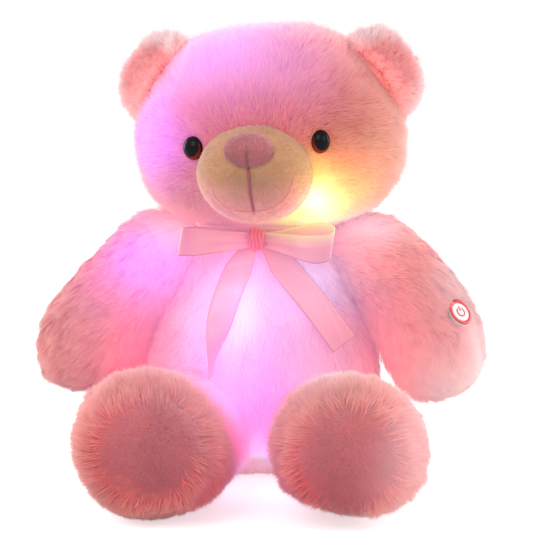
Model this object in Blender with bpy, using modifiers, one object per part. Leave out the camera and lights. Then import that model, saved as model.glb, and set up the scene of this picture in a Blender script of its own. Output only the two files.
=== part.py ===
# Plush night light: a sitting teddy bear with lamps in its filling, a press switch in one
# arm and a battery box behind a zip in its back.
# Metres, +Z up. The bear faces -Y and its own left side is at +X.
# The origin is the middle of the seat, on the surface that the bear sits on.

import math

import bmesh
import bpy
from mathutils import Matrix, Vector

# Clearances that every piece shares
GAP = 0.0003
SEAM_GAP = 0.0005
OVERRUN = 0.004
WELD = 0.00001
SHARP_ANGLE = math.radians(40)

# Torso, with the neck seam as its flat top
TORSO_WIDTH = 0.176
TORSO_DEPTH = 0.134
TORSO_HEIGHT = 0.198
TORSO_SIDES = 14
# Share of the height, of the half width, of the half depth, and the shift back of the middle
TORSO_PROFILE_SHARES = (
    (-0.025, 0.56, 0.40, 0.07),
    (0.035, 0.78, 0.63, 0.05),
    (0.11, 0.92, 0.85, 0.02),
    (0.23, 1.00, 0.98, -0.01),
    (0.38, 1.01, 1.01, -0.02),
    (0.54, 0.97, 0.99, -0.02),
    (0.69, 0.86, 0.91, -0.01),
    (0.82, 0.74, 0.80, 0.00),
    (0.92, 0.60, 0.69, 0.00),
    (1.00, 0.47, 0.61, 0.00),
    (1.06, 0.38, 0.52, 0.00),
)

# Head, tilted and turned a little towards the bear's right
HEAD_WIDTH = 0.196
HEAD_DEPTH = 0.158
HEAD_HEIGHT = 0.149
HEAD_SIDES = 14
HEAD_BANDS = 8
HEAD_FULLNESS = 2.55
HEAD_SHIFT_LEFT = 0.0045
HEAD_SHIFT_FRONT = 0.004
HEAD_NECK_SUNK = 0.0040
HEAD_TILT = math.radians(1.5)
HEAD_TURN = math.radians(-2.5)

# Ears
EAR_WIDTH = 0.070
EAR_HEIGHT = 0.072
EAR_THICKNESS = 0.024
EAR_CUP = 0.006
EAR_OUT = 0.081
EAR_UP = 0.044
EAR_BACK = 0.006
EAR_TURN = math.radians(14)
EAR_LEAN = math.radians(24)
EAR_SIDES = 12
EAR_BANDS = 6
EAR_FULLNESS = 2.3

# Muzzle and nose
MUZZLE_WIDTH = 0.081
MUZZLE_HEIGHT = 0.066
MUZZLE_DEPTH = 0.078
MUZZLE_DOWN = 0.026
MUZZLE_FRONT = 0.066
MUZZLE_SIDES = 12
MUZZLE_BANDS = 6
MUZZLE_FULLNESS = 2.25
NOSE_WIDTH = 0.039
NOSE_HEIGHT = 0.026
NOSE_DEPTH = 0.020
NOSE_UP = 0.019
NOSE_OUT = 0.004
NOSE_SIDES = 10
NOSE_BANDS = 5
NOSE_FULLNESS = 2.4

# Eyes: a domed head on a shank, held by a washer behind the fabric
EYE_RADIUS = 0.0078
EYE_DOME = 0.0055
EYE_RIM = 0.0012
EYE_SPACING = 0.093
EYE_DOWN = 0.007
EYE_SKEW = 0.0017
EYE_SHANK_RADIUS = 0.0018
EYE_SHANK_LENGTH = 0.0125
EYE_STEPS = 16
EYE_DOME_STEPS = 4
WASHER_RADIUS = 0.0070
WASHER_THICKNESS = 0.0020
WASHER_DEPTH = 0.0040

# Arms: the route of the middle line in shares of the torso's width, depth and height,
# its radii, and the hinge line of the shoulder seam
ARM_ROUTE_SHARES = (
    (0.2727, 0.0075, 0.8535),
    (0.3750, -0.0149, 0.8636),
    (0.5170, -0.0522, 0.8232),
    (0.6420, -0.0896, 0.7273),
    (0.7159, -0.1269, 0.6061),
    (0.7500, -0.1493, 0.5000),
    (0.7557, -0.1567, 0.4091),
    (0.7443, -0.1567, 0.3485),
)
ARM_RADIUS = 0.0370
ARM_RADIUS_SHARES = (0.66, 0.80, 0.98, 1.03, 1.02, 0.98, 0.80, 0.48)
ARM_SIDES = 12
ARM_HINGE_OUT = 0.042
ARM_HINGE_DOWN = 0.006
COLLAR_SPACE_RADIUS = 0.056
COLLAR_SPACE_DOWN = 0.014

# Legs: from the hip, inside the torso, to the sole,
# in shares of the torso's width, the leg's reach and the foot's radius
LEG_REACH = 0.171
LEG_ROUTE_SHARES = (
    (0.2614, -0.2105, 0.911),
    (0.2841, -0.3216, 0.911),
    (0.3239, -0.4386, 0.911),
    (0.3636, -0.5614, 0.941),
    (0.3977, -0.6784, 0.980),
    (0.4091, -0.7953, 1.000),
    (0.4091, -0.8947, 1.010),
    (0.4034, -0.9708, 1.010),
    (0.4034, -1.0000, 1.010),
)
FOOT_RADIUS = 0.0505
# The feet aren't set quite alike: how far each sole lies outside its place in the route
FOOT_SPLAYS = {"left": 0.0040, "right": -0.0010}
LEG_RADIUS_SHARES = (0.70, 0.84, 0.88, 0.90, 0.99, 1.06, 1.03, 0.86, 0.60)
LEG_SIDES = 12
LEG_HINGE_SHARE = 0.455

# Sole pads
SOLE_RADIUS = 0.0395
SOLE_THICKNESS = 0.0030
SOLE_CROWN = 0.0025
SOLE_STEPS = 24
SOLE_DOME_STEPS = 3

# Ribbon: a neck band, a knot, two loops and two tails
RIBBON_WIDTH = 0.021
RIBBON_THICKNESS = 0.0008
BAND_HEIGHT = 0.009
BAND_RADIUS = 0.0455
BAND_SIDES = 24
PILE_DEPTH = 0.009
KNOT_WIDTH = 0.0125
KNOT_HEIGHT = 0.0150
KNOT_DEPTH = 0.0125
KNOT_DROP = 0.008
KNOT_FULLNESS = 2.8
KNOT_SIDES = 9
KNOT_BANDS = 5
LOOP_LENGTH = 0.054
LOOP_OPENING = 0.017
LOOP_NARROW_SHARE = 0.25
LOOP_GATHER = 0.017
LOOP_GATHER_SHARE = 0.55
LOOP_SIDES = 20
LOOP_DROOP = math.radians(1)
LOOP_SWEEP = math.radians(10)
TAIL_STEPS = 12
# How far each tail drops from the knot and how far it swings out to its side
LEFT_TAIL_DROP = 0.064
LEFT_TAIL_OUT = 0.061
LEFT_TAIL_BOW_SHARE = 0.2
RIGHT_TAIL_DROP = 0.092
RIGHT_TAIL_OUT = 0.034
RIGHT_TAIL_BOW_SHARE = 0.9
TAIL_TOP_DROP = 0.0020
TAIL_START = 0.0041
TAIL_SET_BACK_SHARE = 0.75
TAIL_LIE_SHARE = 0.5
TAIL_GATHER_SHARE = 0.35
TAIL_WIDEN_SHARE = 0.17

# Press switch in the left arm: its place on the arm's middle line in shares of the torso,
# the way it faces, and how far its seat lies inside the arm's skin
SWITCH_ALONG_SHARES = (0.7159, -0.1231, 0.5732)
SWITCH_FACING_SHARES = (0.60, -0.56, 0.57)
SWITCH_INSET = 0.0002
PATCH_RADIUS = 0.0108
PATCH_THICKNESS = 0.0012
PRESS_TRAVEL = 0.0015
PLUNGER_RADIUS = 0.0045
PLUNGER_LENGTH = 0.0050
SWITCH_RADIUS = 0.0095
SWITCH_DEPTH = 0.0090
SWITCH_WALL = 0.0012
ROUND_STEPS = 24

# Zip in the back
ZIP_LOW = 0.046
ZIP_HIGH = 0.150
ZIP_SINK = 0.0050
TOOTH_PITCH = 0.0040
TOOTH_NECK = 0.0010
TOOTH_REACH = 0.0027
TOOTH_MIDDLE = 0.0002
TOOTH_THICKNESS = 0.0020
TAPE_EDGE = 0.0033
TAPE_HALF_WIDTH = 0.0135
TAPE_THICKNESS = 0.0009
TAPE_END = 0.0080
SLIT_HALF_WIDTH = 0.0080
SLIT_END = 0.0040
SLIDER_LENGTH = 0.0110
SLIDER_HALF_WIDE = 0.0060
SLIDER_HALF_NARROW = 0.0050
SLIDER_PLATE = 0.0010
SLIDER_FLANGE = 0.0009
SLIDER_SLOT = 0.0016
SLIDER_POST_RADIUS = 0.0012
BAIL_LENGTH = 0.0050
BAIL_OPENING = 0.0022
BAIL_THICKNESS = 0.0008
PULL_LENGTH = 0.0220
PULL_HALF_WIDTH = 0.0034
PULL_THICKNESS = 0.0012
PULL_WINDOW_LENGTH = 0.0042
PULL_WINDOW_HALF = 0.0013
PULL_TAPER_SHARE = 0.7
STOP_WIDTH = 0.0080
STOP_HEIGHT = 0.0030
STOP_THICKNESS = 0.0014

# Battery box for three AA cells, in the pocket behind the zip
CELL_RADIUS = 0.0071
CELL_LENGTH = 0.0490
CELL_NUB_RADIUS = 0.0027
CELL_NUB_LENGTH = 0.0012
CELL_STEPS = 12
CELL_COUNT = 3
CELL_CLEARANCE = 0.0004
BOX_WALL = 0.0016
BOX_END_SPACE = 0.0030
SCREW_ROOM = 0.0064
SCREW_INSET = 0.0040
BOARD_SPACE = 0.0120
BOARD_THICKNESS = 0.0014
CONTACT_THICKNESS = 0.0006
LID_THICKNESS = 0.0018
LID_SCREW_RADIUS = 0.0011
LID_SCREW_HEAD = 0.0021
LID_SCREW_HEAD_HEIGHT = 0.0011
LID_SCREW_LENGTH = 0.0070
POCKET_CLEARANCE = 0.0006
POCKET_DEPTH_UNDER_TAPE = 0.0035

# Lamps and their wires
LAMP_RADIUS = 0.0040
LAMP_LENGTH = 0.0100
LAMP_STEPS = 12
LAMP_DOME_STEPS = 2
WIRE_RADIUS = 0.0010
WIRE_SAG = 0.0030
WIRE_POINTS = 7
WALL_END = 0.0025
TORSO_LAMP_SHARES = {
    "lamp_chest": (-0.068, -0.224, 0.717),
    "lamp_belly": (-0.045, -0.299, 0.364),
    "lamp_shoulder": (-0.261, -0.090, 0.798),
}
# In the head, from the middle of the neck seam up
HEAD_LAMP_SHARES = {
    "lamp_cheek_left": (0.235, -0.253, 0.255),
    "lamp_crown": (-0.173, -0.215, 0.765),
    "lamp_cheek_right": (-0.347, -0.139, 0.430),
}

PLUSH_PINK = (0.93, 0.55, 0.60)
SOLE_PINK = (0.88, 0.52, 0.53)
MUZZLE_CREAM = (0.95, 0.84, 0.78)
NOSE_PINK = (0.82, 0.42, 0.47)
RIBBON_PINK = (0.91, 0.68, 0.75)
EYE_BLACK = (0.02, 0.01, 0.01)
PLASTIC_WHITE = (0.86, 0.86, 0.84)
PLASTIC_BLACK = (0.05, 0.05, 0.055)
PATCH_WHITE = (0.93, 0.92, 0.90)
ZIP_TAPE_PINK = (0.90, 0.58, 0.63)
ZIP_METAL = (0.75, 0.70, 0.70)
CELL_GREEN = (0.20, 0.45, 0.28)
BOARD_GREEN = (0.05, 0.30, 0.14)
LAMP_CLEAR = (0.95, 0.90, 0.86)
WIRE_RED = (0.70, 0.10, 0.10)

SIDES = {"left": 1, "right": -1}
LEVELS = 1
AXIS_X = Vector((1, 0, 0))
AXIS_Y = Vector((0, 1, 0))
AXIS_Z = Vector((0, 0, 1))


# Scene set-up

for old in list(bpy.data.objects):
    bpy.data.objects.remove(old, do_unlink=True)

bear = bpy.data.collections.new("plush_night_light")
cutters = bpy.data.collections.new("cutters")
bpy.context.scene.collection.children.link(bear)
bpy.context.scene.collection.children.link(cutters)

materials = {}


def material(name, colour, roughness=0.9, metallic=0.0):
    if name not in materials:
        made = bpy.data.materials.new(name)
        made.use_nodes = True
        shader = made.node_tree.nodes["Principled BSDF"]
        shader.inputs["Base Color"].default_value = (*colour, 1)
        shader.inputs["Roughness"].default_value = roughness
        shader.inputs["Metallic"].default_value = metallic
        materials[name] = made
    return materials[name]


def add_object(name, mesh, finish=None):
    """A piece when it has a finish, otherwise a cutter."""
    made = bpy.data.objects.new(name, mesh)
    if finish:
        mesh.materials.append(finish)
        bear.objects.link(made)
    else:
        cutters.objects.link(made)
        made.hide_render = True
        made.display_type = "WIRE"
    return made


def add_empty(name, place, parent=None):
    made = bpy.data.objects.new(name, None)
    made.location = place
    made.parent = parent
    bear.objects.link(made)
    return made


def mesh_from(bm, name, smooth=True):
    mesh = bpy.data.meshes.new(name)
    bmesh.ops.recalc_face_normals(bm, faces=bm.faces)
    bm.to_mesh(mesh)
    bm.free()
    if smooth:
        mesh.shade_smooth()
        mesh.set_sharp_from_angle(angle=SHARP_ANGLE)
    return mesh


# Modelling helpers


def cut(piece, *tools):
    for tool in tools:
        knife = piece.modifiers.new("cut", "BOOLEAN")
        knife.operation = "DIFFERENCE"
        knife.solver = "EXACT"
        knife.object = tool


def join(piece, *others):
    for other in others:
        weld = piece.modifiers.new("join", "BOOLEAN")
        weld.operation = "UNION"
        weld.solver = "EXACT"
        weld.object = other


def subdivide(piece, levels=LEVELS):
    smooth = piece.modifiers.new("smooth", "SUBSURF")
    smooth.levels = levels
    smooth.render_levels = levels
    return piece


def evaluated(piece):
    bpy.context.view_layer.update()
    return piece.evaluated_get(bpy.context.evaluated_depsgraph_get())


def loft(name, rings, sides):
    """A cage through rings, each a centre, two half-axis vectors; both ends are filled."""
    bm = bmesh.new()
    previous = None
    for centre, across, tall in rings:
        made = bmesh.ops.create_circle(bm, segments=sides, radius=1)
        facing = across.normalized().cross(tall.normalized())
        place = Matrix((across, tall, facing)).transposed().to_4x4()
        place.translation = centre
        bmesh.ops.transform(bm, matrix=place, verts=made["verts"])
        edges = list({edge for vert in made["verts"] for edge in vert.link_edges})
        if previous is None:
            bmesh.ops.contextual_create(bm, geom=edges)
        else:
            bmesh.ops.bridge_loops(bm, edges=previous + edges)
        previous = edges
    bmesh.ops.contextual_create(bm, geom=previous)
    return mesh_from(bm, name)


def rounded_rings(half_sizes, fullness, bands):
    """Rings of a swollen ellipsoid along its own Z."""
    rings = []
    for band in range(bands):
        angle = math.pi * (2 * band + 1 - bands) / (2 * bands)
        height = math.copysign(abs(math.sin(angle)) ** (2 / fullness), angle)
        reach = math.cos(angle) ** (2 / fullness)
        rings.append(
            (
                AXIS_Z * half_sizes[2] * height,
                AXIS_X * half_sizes[0] * reach,
                AXIS_Y * half_sizes[1] * reach,
            )
        )
    return rings


def rounded_form(name, size, fullness, sides, bands, finish=None, grow=0):
    """A swollen ellipsoid whose subdivided surface measures exactly its size."""
    wanted = Vector(size) + Vector((2 * grow,) * 3)
    mesh = loft(name, rounded_rings(wanted / 2, fullness, bands), sides)
    piece = subdivide(add_object(name, mesh, finish))
    places = [vert.co for vert in evaluated(piece).data.vertices]
    shrunk = []
    for axis, want in enumerate(wanted):
        ends = [place[axis] for place in places]
        shrunk.append(want / (max(ends) - min(ends)))
    mesh.transform(Matrix.Diagonal(shrunk).to_4x4())
    return piece


def box(name, low, high, finish=None):
    bm = bmesh.new()
    bmesh.ops.create_cube(bm, size=1)
    low, high = Vector(low), Vector(high)
    bmesh.ops.scale(bm, vec=high - low, verts=bm.verts)
    bmesh.ops.translate(bm, vec=(low + high) / 2, verts=bm.verts)
    return add_object(name, mesh_from(bm, name, smooth=False), finish)


def turned(name, profile, steps, finish=None):
    """A profile of radius and height, running down its outer side, turned about Z."""
    bm = bmesh.new()
    points = [bm.verts.new((radius, 0, height)) for radius, height in profile]
    for first, second in zip(points, points[1:]):
        bm.edges.new((first, second))
    mesh = bpy.data.meshes.new(name)
    bm.to_mesh(mesh)
    bm.free()
    piece = add_object(name, mesh, finish)
    screw = piece.modifiers.new("turn", "SCREW")
    screw.axis = "Z"
    screw.steps = steps
    screw.render_steps = steps
    screw.use_merge_vertices = True
    screw.merge_threshold = WELD
    return piece


def tube(name, points, radius, finish=None):
    """A wire through its points, as a closed mesh that can be cut."""
    curve = bpy.data.curves.new(name, "CURVE")
    curve.dimensions = "3D"
    curve.bevel_depth = radius
    curve.bevel_resolution = 1
    curve.use_fill_caps = True
    line = curve.splines.new("POLY")
    line.points.add(len(points) - 1)
    for spot, point in zip(line.points, points):
        spot.co = (*point, 1)
    guide = bpy.data.objects.new(name + "_line", curve)
    bear.objects.link(guide)
    mesh = bpy.data.meshes.new_from_object(evaluated(guide))
    bpy.data.objects.remove(guide, do_unlink=True)
    bm = bmesh.new()
    bm.from_mesh(mesh)
    bmesh.ops.remove_doubles(bm, verts=bm.verts, dist=WELD)
    bpy.data.meshes.remove(mesh)
    return add_object(name, mesh_from(bm, name), finish)


def flat_piece(name, outlines, thickness, finish=None):
    """A flat plate in its own XY plane, middle of its thickness at Z 0; later outlines are holes."""
    curve = bpy.data.curves.new(name, "CURVE")
    curve.dimensions = "2D"
    curve.fill_mode = "BOTH"
    curve.extrude = thickness / 2
    for outline in outlines:
        line = curve.splines.new("POLY")
        line.points.add(len(outline) - 1)
        line.use_cyclic_u = True
        for spot, (along, across) in zip(line.points, outline):
            spot.co = (along, across, 0, 1)
    guide = bpy.data.objects.new(name + "_outline", curve)
    bear.objects.link(guide)
    mesh = bpy.data.meshes.new_from_object(evaluated(guide))
    bpy.data.objects.remove(guide, do_unlink=True)
    bm = bmesh.new()
    bm.from_mesh(mesh)
    bmesh.ops.remove_doubles(bm, verts=bm.verts, dist=WELD)
    bpy.data.meshes.remove(mesh)
    return add_object(name, mesh_from(bm, name, smooth=False), finish)


def cylinder_profile(radius, top, bottom):
    return ((0, top), (radius, top), (radius, bottom), (0, bottom))


def dome_profile(radius, rise, base, steps):
    """From the top of a dome down to its rim."""
    points = []
    for step in range(steps + 1):
        angle = math.pi / 2 * step / steps
        points.append((radius * math.sin(angle), base + rise * math.cos(angle)))
    return points


def share_between(pairs, at):
    """Straight reading between the rows of a profile, by its first column."""
    for low, high in zip(pairs, pairs[1:]):
        if low[0] <= at <= high[0]:
            part = (at - low[0]) / (high[0] - low[0])
            return [a + (b - a) * part for a, b in zip(low, high)]
    raise ValueError(f"{at} lies outside the profile")


def surface_point(piece, start, direction):
    """Where a line from start meets the piece, in the piece's own space."""
    hit, place, normal, _ = evaluated(piece).ray_cast(Vector(start), Vector(direction).normalized())
    if not hit:
        raise ValueError(f"{piece.name} isn't met from {start}")
    return place, normal


def facing_matrix(place, normal, up=AXIS_Z):
    """Turns +Z to the normal, with its Y as near up as it can be."""
    normal = Vector(normal).normalized()
    across = up.cross(normal).normalized()
    tall = normal.cross(across)
    turn = Matrix((across, tall, normal)).transposed().to_4x4()
    turn.translation = place
    return turn


# Torso


def torso_row(height):
    _, width, depth, shift = share_between(TORSO_PROFILE_SHARES, height / TORSO_HEIGHT)
    return TORSO_WIDTH / 2 * width, TORSO_DEPTH / 2 * depth, TORSO_DEPTH * shift


def torso_front(height):
    _, half_depth, shift = torso_row(height)
    return shift - half_depth


def torso_back(height):
    _, half_depth, shift = torso_row(height)
    return shift + half_depth


def torso_form(name, finish=None, grow=0):
    rings = []
    for height, width, depth, shift in TORSO_PROFILE_SHARES:
        rings.append(
            (
                Vector((0, TORSO_DEPTH * shift, TORSO_HEIGHT * height)),
                AXIS_X * (TORSO_WIDTH / 2 * width + grow),
                AXIS_Y * (TORSO_DEPTH / 2 * depth + grow),
            )
        )
    return subdivide(add_object(name, loft(name, rings, TORSO_SIDES), finish))


plush = material("plush", PLUSH_PINK)
torso = torso_form("torso", plush)
torso_grown = torso_form("torso_grown", grow=SEAM_GAP)
ROOM = TORSO_HEIGHT + HEAD_HEIGHT
below_table = box("below_table", (-ROOM, -ROOM, -ROOM), (ROOM, ROOM, 0))
above_neck = box("above_neck", (-ROOM, -ROOM, TORSO_HEIGHT), (ROOM, ROOM, 2 * ROOM))
cut(torso, below_table, above_neck)


# Head, its joint at the neck seam

neck = Vector((0, 0, TORSO_HEIGHT))
head_joint = add_empty("head_joint", neck)
head_centre = add_empty(
    "head_centre",
    (HEAD_SHIFT_LEFT, -HEAD_SHIFT_FRONT, HEAD_HEIGHT / 2 - HEAD_NECK_SUNK),
    head_joint,
)
head_centre.rotation_euler = (0, -HEAD_TILT, HEAD_TURN)
bpy.context.view_layer.update()
HEAD_SIZE = (HEAD_WIDTH, HEAD_DEPTH, HEAD_HEIGHT)


def head_form(name, finish=None, grow=0):
    made = rounded_form(name, HEAD_SIZE, HEAD_FULLNESS, HEAD_SIDES, HEAD_BANDS, finish, grow)
    made.parent = head_centre
    return made


head = head_form("head", plush)
head_grown = head_form("head_grown", grow=SEAM_GAP)
below_neck = box("below_neck", (-ROOM, -ROOM, -ROOM), (ROOM, ROOM, TORSO_HEIGHT + GAP))
cut(head, below_neck)


def make_ear(side):
    name = "ear_" + side
    sign = SIDES[side]
    ear = rounded_form(
        name, (EAR_WIDTH, EAR_HEIGHT, EAR_THICKNESS), EAR_FULLNESS, EAR_SIDES, EAR_BANDS, plush
    )
    # The front face is drawn in, deepest in its middle
    for vert in ear.data.vertices:
        if vert.co.z > 0:
            off_middle = (2 * vert.co.x / EAR_WIDTH) ** 2 + (2 * vert.co.y / EAR_HEIGHT) ** 2
            vert.co.z -= EAR_CUP * max(0, 1 - off_middle)
    place = facing_matrix((0, 0, 0), -AXIS_Y)
    lean = Matrix.Rotation(sign * EAR_LEAN, 4, "Y")
    turn = Matrix.Rotation(sign * EAR_TURN, 4, "Z")
    ear.data.transform(turn @ lean @ place)
    ear.parent = head_centre
    ear.location = (sign * EAR_OUT, EAR_BACK, EAR_UP)
    cut(ear, head_grown)


for side_name in SIDES:
    make_ear(side_name)


def muzzle_form(name, finish=None, grow=0):
    made = rounded_form(
        name,
        (MUZZLE_WIDTH, MUZZLE_HEIGHT, MUZZLE_DEPTH),
        MUZZLE_FULLNESS,
        MUZZLE_SIDES,
        MUZZLE_BANDS,
        finish,
        grow,
    )
    made.data.transform(facing_matrix((0, 0, 0), -AXIS_Y))
    made.parent = head_centre
    made.location = (0, -MUZZLE_FRONT, -MUZZLE_DOWN)
    return made


muzzle = muzzle_form("muzzle", material("muzzle_pile", MUZZLE_CREAM))
muzzle_grown = muzzle_form("muzzle_grown", grow=SEAM_GAP)
cut(muzzle, head_grown, below_neck)

nose_place, nose_facing = surface_point(muzzle_grown, (0, -MUZZLE_DEPTH, NOSE_UP), AXIS_Y)
nose = rounded_form(
    "nose",
    (NOSE_WIDTH, NOSE_HEIGHT, NOSE_DEPTH),
    NOSE_FULLNESS,
    NOSE_SIDES,
    NOSE_BANDS,
    material("nose_velour", NOSE_PINK),
)
nose.data.transform(facing_matrix((0, 0, 0), nose_facing))
nose.parent = head_centre
nose.location = muzzle_grown.location + nose_place - nose_facing * (NOSE_DEPTH / 2 - NOSE_OUT)
cut(nose, muzzle_grown, head_grown)


# Eyes: each has a hole for the shank and a slot for the washer in the head


def make_eye(side):
    sign = SIDES[side]
    start = (sign * EYE_SPACING / 2, -HEAD_DEPTH, sign * EYE_SKEW - EYE_DOWN)
    place, normal = surface_point(head_grown, start, AXIS_Y)
    seat = facing_matrix(place, normal)
    seat.translation = place + normal * GAP
    shank_end = -EYE_SHANK_LENGTH
    profile = dome_profile(EYE_RADIUS, EYE_DOME, EYE_RIM, EYE_DOME_STEPS) + [
        (EYE_RADIUS, 0),
        (EYE_SHANK_RADIUS, 0),
        (EYE_SHANK_RADIUS, shank_end + EYE_SHANK_RADIUS),
        (0, shank_end),
    ]
    eye = turned("eye_" + side, profile, EYE_STEPS, material("eye_gloss", EYE_BLACK, 0.05))
    hole_radius = EYE_SHANK_RADIUS + GAP
    washer_top = -WASHER_DEPTH
    washer_bottom = washer_top - WASHER_THICKNESS
    washer = turned(
        "eye_washer_" + side,
        (
            (hole_radius, washer_top),
            (WASHER_RADIUS, washer_top),
            (WASHER_RADIUS, washer_bottom),
            (hole_radius, washer_bottom),
            (hole_radius, washer_top),
        ),
        EYE_STEPS,
        material("washer_plastic", PLASTIC_WHITE, 0.5),
    )
    hole = turned(
        "eye_hole_" + side,
        cylinder_profile(hole_radius, EYE_RIM, shank_end - GAP),
        EYE_STEPS,
    )
    slot = turned(
        "washer_slot_" + side,
        cylinder_profile(WASHER_RADIUS + GAP, washer_top + GAP, washer_bottom - GAP),
        EYE_STEPS,
    )
    sink = turned(
        "eye_sink_" + side,
        cylinder_profile(EYE_RADIUS + GAP, EYE_RADIUS, -GAP),
        EYE_STEPS,
    )
    for made in (eye, washer, hole, slot, sink):
        made.parent = head_centre
        made.matrix_local = seat
    cut(head, sink, hole, slot)
    cut(muzzle, sink)


for side_name in SIDES:
    make_eye(side_name)


# Arms and legs


TORSO_SIZE = (TORSO_WIDTH, TORSO_DEPTH, TORSO_HEIGHT)
LEG_SIZE = (TORSO_WIDTH, LEG_REACH, FOOT_RADIUS)


def in_shares(shares, sizes):
    return Vector([share * size for share, size in zip(shares, sizes)])


def limb(name, route, radius, shares, sides, finish, origin, sign):
    """A swelling, tapering limb about a smooth middle line, mirrored to the bear's right by its sign."""
    spots = [Vector((sign * x, y, z)) for x, y, z in route]
    rings = []
    for index, spot in enumerate(spots):
        before = spots[max(0, index - 1)]
        after = spots[min(len(spots) - 1, index + 1)]
        along = (after - before).normalized()
        across = AXIS_Y.cross(along) if abs(along.y) < abs(along.z) + abs(along.x) else AXIS_Z.cross(along)
        across.normalize()
        tall = along.cross(across)
        reach = radius * shares[index]
        rings.append((spot - Vector(origin), across * reach, tall * reach))
    return subdivide(add_object(name, loft(name, rings, sides), finish))


collar_space = turned(
    "collar_space",
    cylinder_profile(COLLAR_SPACE_RADIUS, ROOM, TORSO_HEIGHT - COLLAR_SPACE_DOWN),
    BAND_SIDES,
)
arm_hinges = {}
arms = {}


def make_arm(side):
    sign = SIDES[side]
    hinge = Vector((sign * ARM_HINGE_OUT, 0, TORSO_HEIGHT - ARM_HINGE_DOWN))
    arm_hinges[side] = add_empty("arm_joint_" + side, hinge)
    route = [in_shares(spot, TORSO_SIZE) for spot in ARM_ROUTE_SHARES]
    arm = limb(
        "arm_" + side, route, ARM_RADIUS, ARM_RADIUS_SHARES, ARM_SIDES, plush, hinge, sign
    )
    arm.parent = arm_hinges[side]
    cut(arm, torso_grown, collar_space)
    arms[side] = arm


def make_leg(side):
    sign = SIDES[side]
    seam_height = TORSO_HEIGHT * LEG_HINGE_SHARE
    hinge = Vector((0, torso_front(seam_height), seam_height))
    joint = add_empty("leg_joint_" + side, hinge)
    splay = AXIS_X * FOOT_SPLAYS[side] / (len(LEG_ROUTE_SHARES) - 1)
    route = [
        in_shares(spot, LEG_SIZE) + splay * index for index, spot in enumerate(LEG_ROUTE_SHARES)
    ]
    leg = limb(
        "leg_" + side, route, FOOT_RADIUS, LEG_RADIUS_SHARES, LEG_SIDES, plush, hinge, sign
    )
    leg.parent = joint
    cut(leg, torso_grown, below_table)
    # The sole pad is let into the front of the foot
    x, y, z = route[-1]
    sole_seat = facing_matrix(Vector((sign * x, y + SOLE_THICKNESS, z)) - hinge, -AXIS_Y)
    crown = dome_profile(SOLE_RADIUS, SOLE_CROWN, SOLE_THICKNESS, SOLE_DOME_STEPS)
    sole = turned(
        "sole_" + side,
        crown + [(SOLE_RADIUS, 0), (0, 0)],
        SOLE_STEPS,
        material("sole_pile", SOLE_PINK),
    )
    seat = turned(
        "sole_seat_" + side,
        cylinder_profile(SOLE_RADIUS + GAP, SOLE_RADIUS, -GAP),
        SOLE_STEPS,
    )
    for made in (sole, seat):
        made.parent = joint
        made.matrix_local = sole_seat
    cut(leg, seat)


for side_name in SIDES:
    make_arm(side_name)
    make_leg(side_name)


# Press switch: a patch and plunger that move in, over a housing sunk in the left arm

switch_way = Vector(SWITCH_FACING_SHARES).normalized()
switch_place = in_shares(SWITCH_ALONG_SHARES, TORSO_SIZE) + switch_way * (ARM_RADIUS - SWITCH_INSET)
switch_seat = facing_matrix(switch_place - arm_hinges["left"].location, switch_way)
button_joint = add_empty("button_joint", (0, 0, 0), arm_hinges["left"])
button_joint.matrix_local = switch_seat

patch_low = PRESS_TRAVEL + GAP
plunger_low = patch_low - GAP - PLUNGER_LENGTH
housing_top = 0
housing_low = housing_top - SWITCH_DEPTH
patch = turned(
    "press_patch",
    (
        (0, patch_low + PATCH_THICKNESS),
        (PATCH_RADIUS - PATCH_THICKNESS / 2, patch_low + PATCH_THICKNESS),
        (PATCH_RADIUS, patch_low + PATCH_THICKNESS / 2),
        (PATCH_RADIUS, patch_low),
        (0, patch_low),
    ),
    ROUND_STEPS,
    material("patch_vinyl", PATCH_WHITE, 0.5),
)
plunger = turned(
    "switch_plunger",
    cylinder_profile(PLUNGER_RADIUS, patch_low - GAP, plunger_low),
    ROUND_STEPS,
    material("switch_plastic", PLASTIC_WHITE, 0.4),
)
well_radius = PLUNGER_RADIUS + GAP
well_low = plunger_low - PRESS_TRAVEL - GAP
housing = turned(
    "switch_housing",
    (
        (well_radius, well_low),
        (well_radius, housing_top),
        (SWITCH_RADIUS - SWITCH_WALL / 2, housing_top),
        (SWITCH_RADIUS, housing_top - SWITCH_WALL / 2),
        (SWITCH_RADIUS, housing_low),
        (0, housing_low),
        (0, well_low),
        (well_radius, well_low),
    ),
    ROUND_STEPS,
    material("housing_plastic", PLASTIC_BLACK, 0.5),
)
switch_bore = turned(
    "switch_bore",
    (
        (0, SWITCH_RADIUS),
        (PATCH_RADIUS + GAP, SWITCH_RADIUS),
        (PATCH_RADIUS + GAP, housing_top),
        (SWITCH_RADIUS + GAP, housing_top),
        (SWITCH_RADIUS + GAP, housing_low - GAP),
        (0, housing_low - GAP),
    ),
    ROUND_STEPS,
)
for made in (patch, plunger, housing, switch_bore):
    made.parent = button_joint
cut(arms["left"], switch_bore)


# Ribbon: neck band, knot, loops and tails, on the torso

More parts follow.
